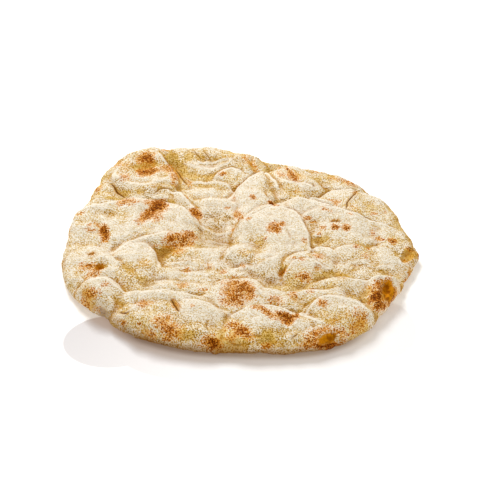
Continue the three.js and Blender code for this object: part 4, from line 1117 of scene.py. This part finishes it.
# painted shadow and reflection: a faint grey patch on the table round the near side of the base
FN = Nodes.__new__(Nodes)
FN.tree = fm.node_tree
floor_place = FN.put("ShaderNodeTexCoord").outputs["Object"]
shadow_patch = 0.0
for px, py, along, across, turn, strength, whole in (
        (112, 341, 46, 22, 0, 1, .92), (220, 352, 96, 25, 0, 1, .92), (330, 345, 62, 21, 0, 1, .92), (386, 328, 29, 24, 0, 1, .92)):
    d = ray(np.array([px]), np.array([py]))[0]
    spot = (EYE + d * (-EYE[2] / d[2])) * .001
    px_mm = DIST * 1.02 / F_PX * .001
    turned_place = FN.put("ShaderNodeMapping", vector_type="TEXTURE")
    FN.link(floor_place, turned_place.inputs["Vector"])
    turned_place.inputs["Location"].default_value = (spot[0] - MID_X * .001, spot[1] - MID_Y * .001, -.0002)
    turned_place.inputs["Rotation"].default_value = (0, 0, turn * RAD)
    turned_place.inputs["Scale"].default_value = (along * px_mm, across * px_mm / _sE, 1)
    far_off = FN.put("ShaderNodeVectorMath", operation="LENGTH")
    FN.link(turned_place.outputs[0], far_off.inputs[0])
    shadow_patch = FN.math("MAXIMUM", shadow_patch, FN.step(far_off.outputs["Value"], 1.0, whole, 0, strength))
split = FN.put("ShaderNodeSeparateXYZ")
FN.link(floor_place, split.inputs[0])
shadow_patch = FN.mul(shadow_patch, FN.step(split.outputs[0], -.14, .06, 1.0, .31))
touch_shadow = FN.attribute("contact_shadow")
# the table's colour and glow carry the painted contact shadow and the painted shadow patch; the patch glows warmer, a
# painted warm reflection
FN.link(FN.mix(touch_shadow, FN.mix(shadow_patch, (.92, .92, .93), (.178, .262, .328)), (.70, .63, .57), "MULTIPLY"), fb.inputs["Base Color"])
FN.link(FN.mix(touch_shadow, FN.mix(shadow_patch, (.92, .92, .93), (1.26, .84, .62)), (.40, .31, .23), "MULTIPLY"), fb.inputs["Emission Color"])

world = bpy.data.worlds.new("studio")
world.use_nodes = True
world.node_tree.nodes["Background"].inputs[0].default_value = (1, .955, .85, 1)
world.node_tree.nodes["Background"].inputs[1].default_value = .37
bpy.context.scene.world = world


def soft_light(name, at, aim, size, watts, colour=(1, 1, 1)):
    data = bpy.data.lights.new(name, "AREA")
    data.shape = "RECTANGLE"
    data.size, data.size_y = size
    data.energy = watts
    data.color = colour
    o = bpy.data.objects.new(name, data)
    o.location = at
    o.rotation_euler = (Vector(aim) - Vector(at)).to_track_quat("-Z", "Y").to_euler()
    bpy.context.scene.collection.objects.link(o)
    return o


soft_light("overhead", (-.44, 1.17, 1.45), (0, 0, 0), (.9, .7), 34.4)
soft_light("low_fill", (.35, -1.60, .55), (0, 0, 0), (1.2, .8), 6, (1, .95, .84))
soft_light("left_fill", (-1.45, -.95, .42), (0, 0, 0), (1.0, .7), 3.0, (1, .95, .84))
soft_light("right_fill", (1.50, -.70, .42), (0, 0, 0), (1.0, .7), 4.2, (1, .95, .84))

cam = bpy.data.cameras.new("camera")
cam.lens, cam.sensor_width = 100, 36
cam.clip_start, cam.clip_end = .01, 100
camera = bpy.data.objects.new("camera", cam)
target = Vector((-MID_X * .001, -MID_Y * .001, AIM_Z * .001))
camera.location = target + Vector((0, -DIST * _cE, DIST * _sE)) * .001
camera.rotation_euler = (target - camera.location).to_track_quat("-Z", "Y").to_euler()
bpy.context.scene.collection.objects.link(camera)
bpy.context.scene.camera = camera
bpy.context.scene.view_settings.view_transform = "Standard"

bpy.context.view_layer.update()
